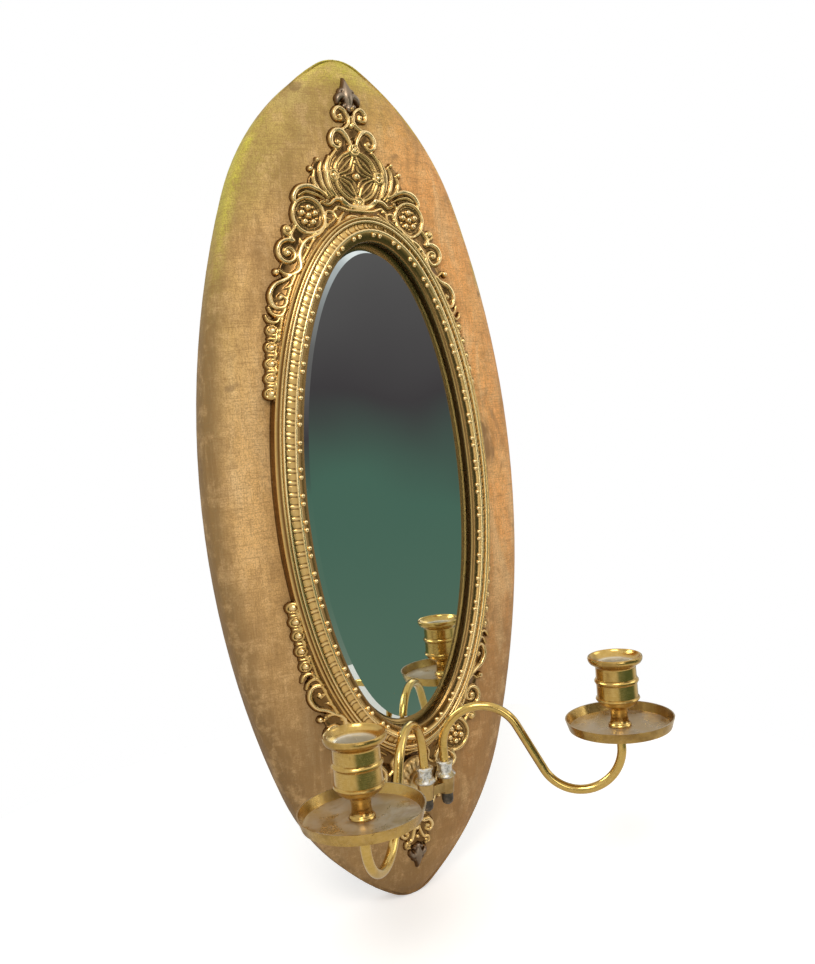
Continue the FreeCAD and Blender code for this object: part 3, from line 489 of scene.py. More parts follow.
def velvet_finish():
    g = Graph("faded_velvet")
    at = g.split()
    cloud = g.noise(6.5, 5.0, 0.62, warp=0.4)
    patches = g.noise(19.0, 6.0, 0.68, warp=0.5)
    mottle = g.noise(75.0, 5.0, 0.7)
    streaks = g.noise(1.0, 5.0, 0.7, g.mapping((420.0, 420.0, 34.0)))
    weft = g.noise(1.0, 3.0, 0.65, g.mapping((70.0, 70.0, 1700.0)))
    warp = g.noise(1.0, 3.0, 0.65, g.mapping((1700.0, 1700.0, 90.0)))
    nap = g.noise(1050.0, 3.0, 0.75)
    tan, rose, brown = (0.84, 0.50, 0.180), (0.95, 0.43, 0.120), (0.28, 0.150, 0.045)
    olive, straw, dusk = (0.40, 0.335, 0.055), (0.80, 0.76, 0.07), (0.15, 0.085, 0.038)
    right = g.range(at[0], -0.03, 0.06)
    colour = g.mix(g.math("MULTIPLY", right, g.range(cloud, 0.28, 0.52)), tan, rose)
    colour = g.mix(g.range(cloud, 0.50, 0.68, 0.0, 0.50), colour, brown)
    colour = g.mix(g.range(patches, 0.48, 0.70, 0.0, 0.48), colour, brown)
    # Painted sheen: broad brushed patches of pile are painted lighter, and others darker, as the nap catches or
    # loses the light.
    painted_pile_sheen = g.noise(1.0, 5.0, 0.6, g.mapping((46.0, 46.0, 9.0)), 0.5)
    colour = g.mix(g.range(painted_pile_sheen, 0.50, 0.68, 0.0, 0.55), colour, (0.95, 0.66, 0.32))
    colour = g.mix(g.range(painted_pile_sheen, 0.32, 0.47, 0.55, 0.0), colour, brown)
    rim = g.attribute("to_rim")
    tall = g.math("SUBTRACT", at[2], g.math("MULTIPLY", at[0], 0.55))
    high = g.range(g.math("ADD", tall, g.math("MULTIPLY", cloud, 0.16)), 0.27, 0.37)
    left = g.range(g.math("ADD", at[0], g.math("MULTIPLY", patches, 0.05)), -0.050, -0.100)
    upper = g.range(at[2], 0.00, 0.20)
    edged = g.math("MULTIPLY", g.math("MULTIPLY", left, upper), 0.9)
    faded = g.math("MAXIMUM", high, edged)
    colour = g.mix(g.math("MULTIPLY", faded, 0.62), colour, olive)
    tuft = g.math("MULTIPLY", g.range(at[2], 0.272, 0.296), g.range(patches, 0.40, 0.52))
    fold = g.math("MULTIPLY", g.range(rim, 0.62, 0.95), g.range(patches, 0.40, 0.60))
    fold = g.math("MULTIPLY", fold, g.range(at[2], 0.10, 0.20))
    colour = g.mix(g.math("MULTIPLY", g.math("MAXIMUM", fold, tuft), 0.72), colour, straw)
    stain = g.math("MULTIPLY", g.range(at[0], 0.03, 0.085),
                   g.range(g.noise(17.0, 5.0, 0.62, warp=0.8), 0.55, 0.67))
    colour = g.mix(g.math("MULTIPLY", stain, 0.72), colour, dusk)
    # Painted shade: the padded margin's left side, except near the top, is darkened as if turned away from the
    # light.
    shade = g.math("MULTIPLY", g.range(rim, 0.40, 0.88), g.range(at[2], 0.24, 0.08))
    shade = g.math("MULTIPLY", shade, g.range(at[0], 0.02, -0.03))
    colour = g.mix(g.math("MULTIPLY", shade, 0.92), colour, (0.22, 0.135, 0.045))
    # Painted shade: patches of the cloth in the inner part next to the ring, on the left side, are darkened
    # towards brown, as shade in creases.
    painted_crease_shade = g.math("MULTIPLY", g.range(rim, 0.30, 0.14), g.range(patches, 0.36, 0.56))
    painted_crease_shade = g.math("MULTIPLY", painted_crease_shade, g.range(at[0], 0.03, -0.02))
    colour = g.mix(g.math("MULTIPLY", painted_crease_shade, 0.40), colour, brown)
    low = g.range(g.math("ADD", at[2], g.math("MULTIPLY", cloud, 0.14)), 0.06, -0.11)
    colour = g.mix(g.math("MULTIPLY", low, 0.72), colour, (0.18, 0.100, 0.033))
    spots = g.range(g.noise(42.0, 2.0, 0.5), 0.70, 0.76)
    colour = g.mix(g.math("MULTIPLY", spots, 0.6), colour, dusk)
    colour = g.mix(g.range(mottle, 0.48, 0.66, 0.0, 0.35), colour, (0.90, 0.58, 0.26))
    colour = g.mix(g.range(mottle, 0.34, 0.47, 0.30, 0.0), colour, brown)
    colour = g.mix(g.range(streaks, 0.50, 0.75, 0.0, 0.25), colour, (0.92, 0.60, 0.28))
    colour = g.mix(g.range(streaks, 0.28, 0.46, 0.22, 0.0), colour, brown)
    colour = g.mix(g.range(weft, 0.50, 0.66, 0.0, 0.46), colour, brown)
    colour = g.mix(g.range(warp, 0.50, 0.66, 0.0, 0.40), colour, brown)
    colour = g.mix(g.range(nap, 0.44, 0.60, 0.0, 0.50), colour, brown)
    normal = g.bump(mottle, 0.30, 0.0012)
    normal = g.bump(weft, 0.30, 0.0004, normal)
    normal = g.bump(nap, 0.45, 0.0005, normal)
    return g.finish(colour, 0.9, normal, sheen_weight=0.06, sheen_roughness=0.5)


velvet = velvet_finish()

# %% Velvet cover
ROWS, COLUMNS = 300, 110
RIM_INSET = 0.009     # share by which the ray is moved inwards at the rim


def velvet_cover():
    bm = bmesh.new()
    bmesh.ops.create_grid(bm, x_segments=COLUMNS, y_segments=ROWS, size=1.0)
    to_rim = bm.verts.layers.float.new("to_rim")
    for vert in bm.verts:
        across, up = vert.co.x, vert.co.y
        z = HALF_HEIGHT * math.sin(up * math.pi / 2)
        x = half_width(z * 0.9999) * (0.45 * across + 0.55 * math.sin(across * math.pi / 2))
        lump = 0.45 * MM * noise.noise(Vector((x, z, 0.0)) * 26.0)
        lump += 0.12 * MM * noise.noise(Vector((x * 3.0, z, 5.0)) * 60.0)
        inset = 1.0 - RIM_INSET * max(abs(across), abs(up)) ** 12
        y = front_y(x * inset, z * inset)
        vert.co = Vector((x, y + lump * (1 - abs(across) ** 8), z))
        vert[to_rim] = abs(across) ** 3
    rim = [edge for edge in bm.edges if edge.is_boundary]
    for depth, draw in ((-7.0, 1.0), (-2.5, 1.0), (-0.6, 0.994), (-0.15, 0.985), (-0.15, 0.90)):
        made = bmesh.ops.extrude_edge_only(bm, edges=rim)["geom"]
        for vert in (v for v in made if isinstance(v, bmesh.types.BMVert)):
            vert.co.y = depth * MM
            if draw < 1.0:
                vert.co.x *= draw
                vert.co.z *= 1 - (1 - draw) * 0.55
            vert[to_rim] = 1.0
        rim = [e for e in made if isinstance(e, bmesh.types.BMEdge) and e.is_boundary]
    bmesh.ops.remove_doubles(bm, verts=bm.verts, dist=0.000004)
    bmesh.ops.recalc_face_normals(bm, faces=bm.faces)
    if sum(f.normal.y * f.calc_area() for f in bm.faces if f.calc_center_median().y < RIM_Y) > 0:
        bmesh.ops.reverse_faces(bm, faces=bm.faces)
    return make_piece("velvet_cover_soft", bm, "board", velvet, "velvet_cover")


cover = velvet_cover()
wall = cover.modifiers.new("cloth thickness", "SOLIDIFY")
wall.thickness, wall.offset = 0.8 * MM, -1.0


# %% [markdown]
# ## The moulded ring
# The surround's inner part is a moulding of one section: a lip over the glass, a ridge
# that carries pearls, a hollow band crossed by small bars, and a double bead. Spinning
# the section makes a round ring. The real one is oval, so each point is then moved from
# its place on the circle to the same share of the oval's length: that keeps the bars
# evenly spaced, where plain stretching would crowd them at the sides.

# %% Oval measures
glass_low, glass_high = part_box("mirror_glass")
LAP = 2.5 * MM
LIP_X, LIP_Z = glass_high.x - LAP, glass_high.z - LAP
angles = np.linspace(0.0, 2 * math.pi, 4001)
steps = np.hypot(np.diff((LIP_X + 0.01) * np.cos(angles)), np.diff((LIP_Z + 0.01) * np.sin(angles)))
travelled = np.concatenate([[0.0], np.cumsum(steps)])
OVAL_LENGTH = travelled[-1]


def oval_point(share, out, y):
    """Point that far round the oval, standing out from the lip by out."""
    angle = float(np.interp((share % 1.0) * OVAL_LENGTH, travelled, angles))
    return Vector(((LIP_X + out) * math.cos(angle), y, (LIP_Z + out) * math.sin(angle)))


print("oval length", round(OVAL_LENGTH, 4))

# %% Ring section: (out from the lip, depth in front of the wall), in millimetres
RING_SECTION = [
    (0.0, 32.0), (0.0, 38.9), (0.25, 39.6), (0.9, 40.0), (3.2, 40.5), (5.4, 41.1),
    (6.1, 41.9), (6.9, 42.3), (7.7, 42.1), (8.3, 41.2), (9.0, 40.0), (9.9, 38.9),
    (10.9, 38.1), (11.9, 37.6), (12.5, 37.5), (12.8, 38.0), (13.3, 38.7), (14.0, 38.9),
    (14.7, 38.6), (15.1, 37.9), (15.3, 37.5), (15.6, 38.0), (16.2, 38.5), (16.9, 38.3),
    (17.4, 37.4), (17.6, 36.2), (18.0, 35.4), (18.7, 35.0), (19.1, 34.2), (18.9, 33.3),
    (18.5, 32.5), (18.8, 29.5), (19.1, 26.4), (16.4, 26.4), (16.4, 35.6),
    (12.5, 36.2), (7.5, 40.6), (1.1, 38.6), (1.1, 32.0),
]
BAR_PITCH, BAR_RISE, BAR_HALF = 7.9 * MM, 1.0 * MM, 0.75 * MM
BAR_COUNT = round(OVAL_LENGTH / BAR_PITCH)
COVE = (8.0, 12.4)
RING_STEPS = BAR_COUNT * 11


def moulded_ring():
    bm = bmesh.new()
    corners = [bm.verts.new(((LIP_X + out * MM), -depth * MM, 0.0)) for out, depth in RING_SECTION]
    section = [bm.edges.new(pair) for pair in zip(corners, corners[1:] + corners[:1])]
    bmesh.ops.spin(bm, geom=corners + section, cent=(0, 0, 0), axis=(0, 1, 0),
                   angle=2 * math.pi, steps=RING_STEPS, use_merge=True)
    wear_and_shade = bm.verts.layers.float.new("polish_and_shade")
    for vert in bm.verts:
        share = math.atan2(vert.co.z, vert.co.x) / (2 * math.pi)
        out = math.hypot(vert.co.x, vert.co.z) - LIP_X
        vert.co = oval_point(share, out, vert.co.y)
        out_mm, depth = out / MM, -vert.co.y / MM
        along = (share * BAR_COUNT) % 1.0
        gap = min(along, 1.0 - along) * OVAL_LENGTH / BAR_COUNT
        vert[wear_and_shade] = 0.16 + 0.84 * max(0.0, min(1.0, (depth - 40.9) / 1.2))
        if out_mm > 12.6:
            vert[wear_and_shade] = 0.10 + 0.85 * max(0.0, min(1.0, (depth - 37.6) / 1.0))
        # Painted shade: the outer wall is kept dark, like a shadow line, with one brighter line along its rib.
        if depth < 37.0:
            vert[wear_and_shade] = 0.12 + 0.75 * math.exp(-((depth - 34.4) / 0.8) ** 2)
        if COVE[0] < out_mm < COVE[1] and depth > 37.2:
            bar = math.exp(-(gap / BAR_HALF) ** 2)
            mid = math.sin(math.pi * (out_mm - COVE[0]) / (COVE[1] - COVE[0])) ** 0.5
            pillow = 0.45 * MM * math.sin(math.pi * along) ** 0.6
            vert.co.y -= (bar * BAR_RISE + pillow) * mid
            trench = math.exp(-((gap - 1.25 * MM) / (0.5 * MM)) ** 2)
            vert.co.y += 0.60 * MM * trench * mid
            vert[wear_and_shade] = 0.10 + 0.60 * mid + 0.30 * bar - 0.60 * trench
        wobble = noise.noise(vert.co * 55.0) * 0.10 * MM
        vert.co.y += wobble
    bmesh.ops.recalc_face_normals(bm, faces=bm.faces)
    return make_piece("moulded_ring", bm, "board", pressed_brass, "brass_surround")


ring = moulded_ring()

# %% [markdown]
# Pearls sit in pairs on the inner slope. A pearl is a plain ball of few faces, because
# there are about a hundred of them and each is only 3 mm across.

# %% Pearls
PEARL_PAIR, PEARL_APART, PEARL_RADIUS, PEARL_OUT, PEARL_DEPTH = 18.0 * MM, 5.4 * MM, 1.7 * MM, 4.3 * MM, 41.0 * MM


def ball(bm, place, radius, segments=10, rings=7, flatten=1.0):
    where = Matrix.Translation(place) @ Matrix.Diagonal((radius, radius * flatten, radius, 1.0))
    return bmesh.ops.create_uvsphere(bm, u_segments=segments, v_segments=rings, radius=1.0,
                                     matrix=where)["verts"]


def pearls():
    bm = bmesh.new()
    wear_and_shade = bm.verts.layers.float.new("polish_and_shade")
    pairs = round(OVAL_LENGTH / PEARL_PAIR)
    for pair in range(pairs):
        for side in (-0.5, 0.5):
            share = (pair + 0.5) / pairs + side * PEARL_APART / OVAL_LENGTH
            for vert in ball(bm, oval_point(share, PEARL_OUT, -PEARL_DEPTH), PEARL_RADIUS, 9, 6):
                vert[wear_and_shade] = 0.9
    return make_piece("pearls", bm, "board", pressed_brass)


pearls()


# %% [markdown]
# ## The pressed ornament
# Crest and foot are sheet brass pressed into a die: scrolls, rosettes and leaves standing
# out of one thin plate. Separate tubes would never melt into the plate as pressed metal
# does. So the ornament is drawn as strokes, and a fine grid is raised to the height that
# the strokes give at each point. What lies outside every stroke and plate is cut away,
# and the points on the cut are slid onto the true outline.

# %% Strokes
STEP = 0.5          # between samples of a stroke, in millimetres
FLANGE = 0.8        # plate that shows outside a stroke
GROUND = 1.5        # height of the plate over the velvet


def flowing(*points):
    """Smooth stroke through points (x, z, half width), as evenly spaced samples."""
    p = np.array(points, float)
    p = np.vstack([2 * p[0] - p[1], p, 2 * p[-1] - p[-2]])
    samples = []
    for a, b, c, d in zip(p, p[1:], p[2:], p[3:]):
        count = max(3, int(math.hypot(*(c - b)[:2]) / STEP))
        for t in np.linspace(0, 1, count, endpoint=False):
            samples.append(0.5 * (2 * b + (c - a) * t + (2 * a - 5 * b + 4 * c - d) * t * t
                                  + (3 * b - a - 3 * c + d) * t ** 3))
    return np.array(samples + [p[-2]])


def curl(x, z, outer, inner, start, turns, thick=(1.5, 0.8)):
    """Spiral about (x, z) from radius outer to inner, starting at an angle in degrees."""
    length = abs(turns) * math.pi * (outer + inner)
    t = np.linspace(0, 1, max(12, int(length / STEP)))
    angle = math.radians(start) + 2 * math.pi * turns * t
    radius = outer + (inner - outer) * t ** 0.85
    width = thick[0] + (thick[1] - thick[0]) * t
    return np.column_stack([x + radius * np.cos(angle), z + radius * np.sin(angle), width])


def hoop(x, z, radius, thick, start=0.0, turns=1.0):
    return curl(x, z, radius, radius, start, turns, (thick, thick))


def knob(x, z, radius):
    """A round boss: a stroke with one sample."""
    return np.array([[x, z, radius]])


def join(*strokes):
    return np.vstack(strokes)


# %% [markdown]
# The shoulders of the crest and of the foot hold the same run of forms, so one function
# draws both. Only the right half is drawn: the left half is its mirror image.

# %% Side run of scrolls, shared by crest and foot
def shoulder(up):
    """Rosette, volutes and hook beside the oval; up is 1 for the crest, -1 for the foot."""
    strokes = [
        hoop(40.6, 188.5, 11.8, 1.35),
        hoop(40.6, 188.5, 9.3, 0.45),
        knob(40.6, 188.5, 2.2),
        join(curl(58.6, 163.0, 9.4, 1.2, 118, -1.55, (1.7, 1.0))),
        flowing((51, 181, 1.0), (55.5, 175, 1.4), (54.4, 171.4, 1.7)),
        knob(58.6, 163.0, 2.0),
        join(curl(57.2, 178.6, 3.5, 1.0, 250, 1.1, (1.1, 0.8))), knob(57.6, 178.8, 1.7),
        flowing((28.5, 183, 0.7), (36, 175.5, 1.3), (45, 171.5, 1.5), (51, 163, 1.5),
                (53, 152, 1.4), (60, 148.5, 1.2), (66.5, 152, 0.8)),
        knob(68.6, 150.4, 2.1),
        flowing((55, 151, 1.0), (62, 146, 1.5), (70.5, 142, 1.6), (74.8, 135, 1.7),
                (73, 128, 1.5), (67.5, 127, 1.2), (64.5, 131.5, 1.0), (67.5, 135.4, 0.9)),
        knob(68.3, 133.6, 1.7),
        flowing((21.5, 187.2, 0.7), (38.4, 173.4, 0.9), (48.2, 160.8, 1.0), (57.2, 147.0, 1.0),
                (64.0, 133.2, 1.0), (69.6, 119.0, 0.9), (73.6, 105.0, 0.7)),
        flowing((45.0, 166.0, 0.6), (47.6, 168.6, 1.2), (48.4, 173.0, 0.5)),
        flowing((58.6, 146.0, 0.6), (60.4, 141.6, 1.2), (64.4, 139.4, 0.5)),
        flowing((65.4, 130.4, 0.6), (67.2, 124.6, 1.0), (70.0, 122.6, 0.5)),
        flowing((50.0, 159.0, 0.6), (50.6, 156.0, 1.2), (54.8, 153.4, 0.5)),
        flowing((66, 126, 0.8), (70, 121.5, 1.2), (74.5, 123, 1.1), (76.6, 127.2, 0.9)),
        flowing((70, 121.5, 0.8), (73, 117.5, 1.1), (77.5, 118.5, 1.2), (79.4, 121.8, 0.8)),
    ]
    for petal in range(5):
        turn = math.radians(90 + 72 * petal)
        strokes.append(knob(40.6 + 5.3 * math.cos(turn), 188.5 + 5.3 * math.sin(turn), 2.3))
        turn += math.radians(36)
        strokes.append(knob(40.6 + 6.6 * math.cos(turn), 188.5 + 6.6 * math.sin(turn), 1.0))
    beads = ((76.4, 112.0), (78.6, 101.0), (80.1, 90.2), (81.4, 80.6), (82.8, 70.8))
    for (x, z), after in zip(beads, beads[1:] + ((83.2, 66.0),)):
        strokes += [knob(x, z, 2.1), hoop(x, z, 3.1, 0.7)]
        strokes.append(flowing((x - 2.0, z - 2.6, 0.7), ((x + after[0]) / 2 - 2.6, (z + after[1]) / 2, 1.1),
                               (after[0] - 2.0, after[1] + 2.6, 0.7)))
        strokes.append(flowing(((x + after[0]) / 2 - 2.2, (z + after[1]) / 2, 0.9),
                               ((x + after[0]) / 2 + 1.6, (z + after[1]) / 2 + 0.4, 0.8)))
    plates = [(40.6, 188.5, 12.0), (50, 176, 7.5), (57, 164, 8.8), (57, 176, 4.5),
              (60, 152, 6.0), (66.5, 136, 7.4), (69.5, 124, 4.2), (52, 160, 7.0)]
    for stroke in strokes:
        stroke[:, 1] *= up
    return strokes, [(x, z * up, r) for x, z, r in plates]


# %% [markdown]
# The crest's middle is a round medallion of four leaves about a four-pointed field, with
# a scroll pair, a smaller pair and a leaf above it, and fans of foliage at its sides.

# %% Crest
def crest_middle():
    cz, ring_r = 216.7, 17.0
    strokes = [hoop(0, cz, ring_r, 1.05)]
    for a, b in (((0, 17), (17, 0)), ((17, 0), (0, -17))):
        mid = np.array([(a[0] + b[0]) / 2, (a[1] + b[1]) / 2])
        away = mid / np.linalg.norm(mid)
        for bulge, thick in ((2.9, 0.60), (-4.4, 0.72)):
            m = mid + away * bulge
            strokes.append(flowing((a[0], cz + a[1], thick), (m[0], cz + m[1], thick * 1.15),
                                   (b[0], cz + b[1], thick)))
        m = mid - away * 0.8
        q = 0.55
        strokes.append(flowing((m[0] + (a[0] - mid[0]) * q, cz + m[1] + (a[1] - mid[1]) * q, 0.5),
                               (m[0], cz + m[1], 0.75),
                               (m[0] + (b[0] - mid[0]) * q, cz + m[1] + (b[1] - mid[1]) * q, 0.5)))
        strokes.append(flowing((a[0] * 0.66, cz + a[1] * 0.66, 0.6),
                               (mid[0] * 0.36, cz + mid[1] * 0.36, 0.6),
                               (b[0] * 0.66, cz + b[1] * 0.66, 0.6)))
    for x, z in ((0, 18), (18, 0), (0, -18)):
        strokes += [knob(x, cz + z, 1.8), hoop(x, cz + z, 3.3, 1.15)]
    strokes += [
        knob(0, cz, 2.6),
        hoop(0, cz, 22.4, 1.1, 50, -0.62), hoop(0, cz, 19.8, 0.5, 40, -0.56),
        # scroll pair over the medallion
        flowing((1.6, 236, 1.2), (4.0, 242.5, 1.5), (8.5, 247.6, 1.8), (14, 247.2, 1.8),
                (17.4, 242.4, 1.7), (16.4, 237.2, 1.5), (12.2, 236.0, 1.2), (10.2, 239.2, 1.0),
                (12.4, 241.2, 0.9)),
        knob(12.4, 239.6, 1.6),
        # small pair under the leaf
        flowing((12.0, 248.2, 1.1), (6.0, 249.6, 1.3), (2.0, 254.2, 1.4), (3.4, 260.8, 1.4),
                (8.6, 263.8, 1.5), (12.6, 260.0, 1.4), (11.4, 255.6, 1.2), (7.6, 255.8, 1.0),
                (7.4, 259.2, 0.9)),
        knob(8.4, 258.0, 1.5), knob(0, 251.4, 1.8), knob(0, 257.4, 1.3),
        # foliage at the medallion's sides
        flowing((19.5, 203, 0.9), (23.5, 211, 1.3), (24.0, 221, 1.4), (20.5, 229.5, 0.8)),
        flowing((21.5, 202, 0.9), (27.0, 209, 1.3), (28.8, 218, 1.3), (27.0, 225.0, 0.8)),
        flowing((23.5, 201, 0.9), (31.0, 207, 1.3), (34.2, 213, 1.2), (33.0, 219.0, 0.9)),
        knob(35.6, 220.0, 1.8), knob(29.6, 226.4, 1.5),
        flowing((24.0, 203.5, 0.9), (30.5, 205.8, 1.3), (38.0, 208.4, 1.7), (46.0, 206.5, 1.8),
                (50.4, 200.4, 1.6), (48.8, 196.6, 1.0)),
        flowing((28.0, 200.6, 0.7), (34.0, 203.2, 1.0), (41.0, 204.2, 1.1), (46.4, 201.6, 0.8)),
        # ribbon under the medallion
        flowing((0, 196.2, 1.3), (7.5, 196.8, 1.4), (13.5, 200.4, 1.5), (19.0, 200.0, 1.5),
                (24.0, 196.6, 1.3), (28.6, 198.2, 1.2), (31.0, 197.4, 0.8)),
        flowing((0, 192.4, 1.1), (9.0, 193.0, 1.2), (17.0, 195.4, 1.2), (21.5, 192.4, 1.0)),
        knob(13.8, 200.6, 2.2), knob(19.5, 193.4, 1.4), knob(0, 188.0, 1.9),
        flowing((2.0, 184.2, 0.7), (6.0, 187.6, 1.3), (11.5, 188.2, 1.3), (15.6, 184.8, 1.0),
                (13.6, 182.0, 0.7)),
        flowing((14.0, 191.4, 0.7), (18.0, 187.6, 1.2), (22.4, 182.0, 1.1), (29.0, 177.8, 0.8)),
        flowing((20.5, 187.4, 0.9), (22.0, 191.4, 1.2), (26.4, 191.6, 1.2), (28.0, 187.8, 1.0),
                (25.6, 186.4, 0.8)),
    ]
    plates = [(0, cz, 23.0), (0, 197, 14.0), (11, 241.5, 6.0), (3, 246, 4.5), (7, 258.5, 5.2),
              (0, 256, 3.5), (24, 212, 9.0), (31, 211, 7.0), (40, 203, 7.5), (22, 198, 8.0),
              (0, 188, 14.0), (24, 190, 8.0), (29, 221, 5.0)]
    return strokes, plates


def leaf_strokes(z, up, size):
    """Three-lobed leaf with a knot at its foot, as a finial."""
    def at(x, h, w):
        return (x * size, z + up * h * size, w * size)
    return [
        flowing(at(0, 1, 2.8), at(0, 6, 4.4), at(0, 11, 3.9), at(0, 16, 2.2), at(0, 21.5, 0.5)),
        flowing(at(2.0, 7.0, 2.4), at(5.4, 7.2, 2.6), at(8.4, 5.0, 2.1), at(9.2, 1.8, 1.0)),
        flowing(at(1.8, 12.0, 1.4), at(4.6, 11.6, 1.5), at(6.4, 9.4, 0.9)),
        knob(0, z - up * 2.4 * size, 2.9 * size), knob(4.2 * size, z - up * 0.6 * size, 1.9 * size),
    ], [(0, z + up * 5 * size, 4.0 * size)]


# %% [markdown]
# The foot has the same shoulders upside down. Its middle runs down past the bracket in
# two small scroll pairs to a second, smaller leaf.

# %% Foot
def foot_middle():
    strokes = [
        flowing((29.5, -196.5, 1.1), (35.2, -200.2, 1.5), (38.4, -205.4, 1.6), (35.2, -210.0, 1.5),
                (30.4, -208.4, 1.2), (30.8, -204.4, 1.0), (34.0, -204.6, 0.9)),
        knob(33.0, -206.0, 1.5),
        flowing((29.0, -188, 0.9), (25.2, -195, 1.5), (21.4, -201.0, 1.6), (22.2, -208, 1.5),
                (19.6, -216, 1.4), (19.0, -224, 1.4), (15.0, -232.5, 1.4), (8.6, -236.6, 1.4),
                (4.0, -241.0, 1.2)),
        flowing((26, -206, 0.8), (24.2, -213, 1.1), (24.6, -219.6, 1.1), (22.4, -223.4, 0.8)),
        knob(25.0, -223.0, 1.6), knob(21.2, -229.4, 1.5),
        flowing((12, -189.6, 0.9), (15.5, -194.6, 1.3), (14.8, -200, 1.2), (18.6, -203.4, 1.0)),
        flowing((0, -189.5, 1.2), (7.5, -190.6, 1.3), (14, -188.4, 1.2), (22, -182.4, 1.0)),
        flowing((1.8, -238.4, 1.2), (5.6, -243.4, 1.5), (10.8, -244.2, 1.6), (13.4, -248.4, 1.5),
                (11.0, -252.0, 1.3), (7.6, -250.6, 1.0), (8.6, -247.6, 0.9)),
        knob(9.6, -248.6, 1.5),
        flowing((1.6, -245.0, 1.1), (3.0, -250.6, 1.3), (5.4, -255.4, 1.3), (9.4, -256.6, 1.2),
                (9.8, -260.0, 1.0), (6.8, -260.8, 0.8)),
        knob(0, -247.2, 1.8), knob(0, -254.0, 1.5), knob(7.4, -258.6, 1.2),
    ]
    plates = [(0, -207, 23.0), (0, -222, 17.5), (33, -204.5, 5.4), (8, -246, 6.5), (0, -244, 5.0),
              (4, -255, 5.2), (24, -196, 8.0), (0, -192, 17.0), (17, -228, 4.5)]
    return strokes, plates


# %% Height of the pressing
RELIEF_GRID = 0.55     # spacing of the grid, in millimetres
OVAL_RIM = 17.0        # the plate runs in under the ring's outer wall
ROUND_OVER = 1.1       # how far in from its edge the plate is rounded
CLIMB = 6.5            # rise of the plate where it meets the ring's outer wall
CLIMB_WIDTH = 11.0     # distance from the ring at which that rise begins


def spread(strokes, plates):
    """Both halves of the drawing."""
    both = []
    for stroke in strokes:
        both.append(stroke)
        if np.abs(stroke[:, 0]).max() > 0.01:
            both.append(stroke * np.array([-1.0, 1.0, 1.0]))
    discs = [(sign * x, z, r) for x, z, r in plates for sign in ((1, -1) if x else (1,))]
    return both, discs


FLANGE_WIDTH, FLANGE_START = 9.4, 64.0     # at the scrolls, and where it begins
BEAD_FLANGE, BEAD_TOP = 5.0, 116.0         # behind the beads, and where they end


def oval_gap(across, up):
    """Distance outside the oval on which the ring's outer wall stands."""
    rim_x, rim_z = LIP_X / MM + OVAL_RIM, LIP_Z / MM + OVAL_RIM
    level = (across / rim_x) ** 2 + (up / rim_z) ** 2 - 1.0
    return level / (2.0 * np.hypot(across / rim_x ** 2, up / rim_z ** 2) + 1e-9)


def pressing(across, up, strokes, discs, flange):
    """Height raised by the strokes, and distance outside the metal, at every grid point."""
    raised = np.zeros(across.size)
    outside = np.full(across.size, 9.0)
    for x, z, r in discs:
        outside = np.minimum(outside, np.hypot(across - x, up - z) - r)
    if flange:
        taper = np.clip((np.abs(up) - FLANGE_START) / 12.0, 0.0, 1.0)
        wide = BEAD_FLANGE + (FLANGE_WIDTH - BEAD_FLANGE) * np.clip((np.abs(up) - BEAD_TOP) / 8.0, 0, 1)
        outside = np.minimum(outside, oval_gap(across, up) - wide * np.sqrt(taper))
    for stroke in strokes:
        reach = stroke[:, 2].max() + 4.0
        near = np.flatnonzero((across > stroke[:, 0].min() - reach)
                              & (across < stroke[:, 0].max() + reach)
                              & (up > stroke[:, 1].min() - reach)
                              & (up < stroke[:, 1].max() + reach))
        apart = np.hypot(across[near, None] - stroke[None, :, 0],
                         up[near, None] - stroke[None, :, 1])
        share = np.clip(apart / stroke[None, :, 2], 0, 1)
        lift = (stroke[None, :, 2] ** 0.75 * 1.45 * np.sqrt(1 - share ** 2.4)).max(1)
        raised[near] = np.maximum(raised[near], lift)
        outside[near] = np.minimum(outside[near], (apart - stroke[None, :, 2]).min(1) - FLANGE)
    return raised, outside


def slide_to_outline(across, up, strokes, discs, flange):
    """Move points that lie just outside onto the outline, down the slope of the distance."""
    nudge = 0.05
    for _ in range(2):
        here = pressing(across, up, strokes, discs, flange)[1]
        slope_x = (pressing(across + nudge, up, strokes, discs, flange)[1] - here) / nudge
        slope_z = (pressing(across, up + nudge, strokes, discs, flange)[1] - here) / nudge
        length = np.maximum(np.hypot(slope_x, slope_z), 0.5)
        move = np.clip(here, 0.0, 1.5)
        across = across - move * slope_x / length
        up = up - move * slope_z / length
    return across, up


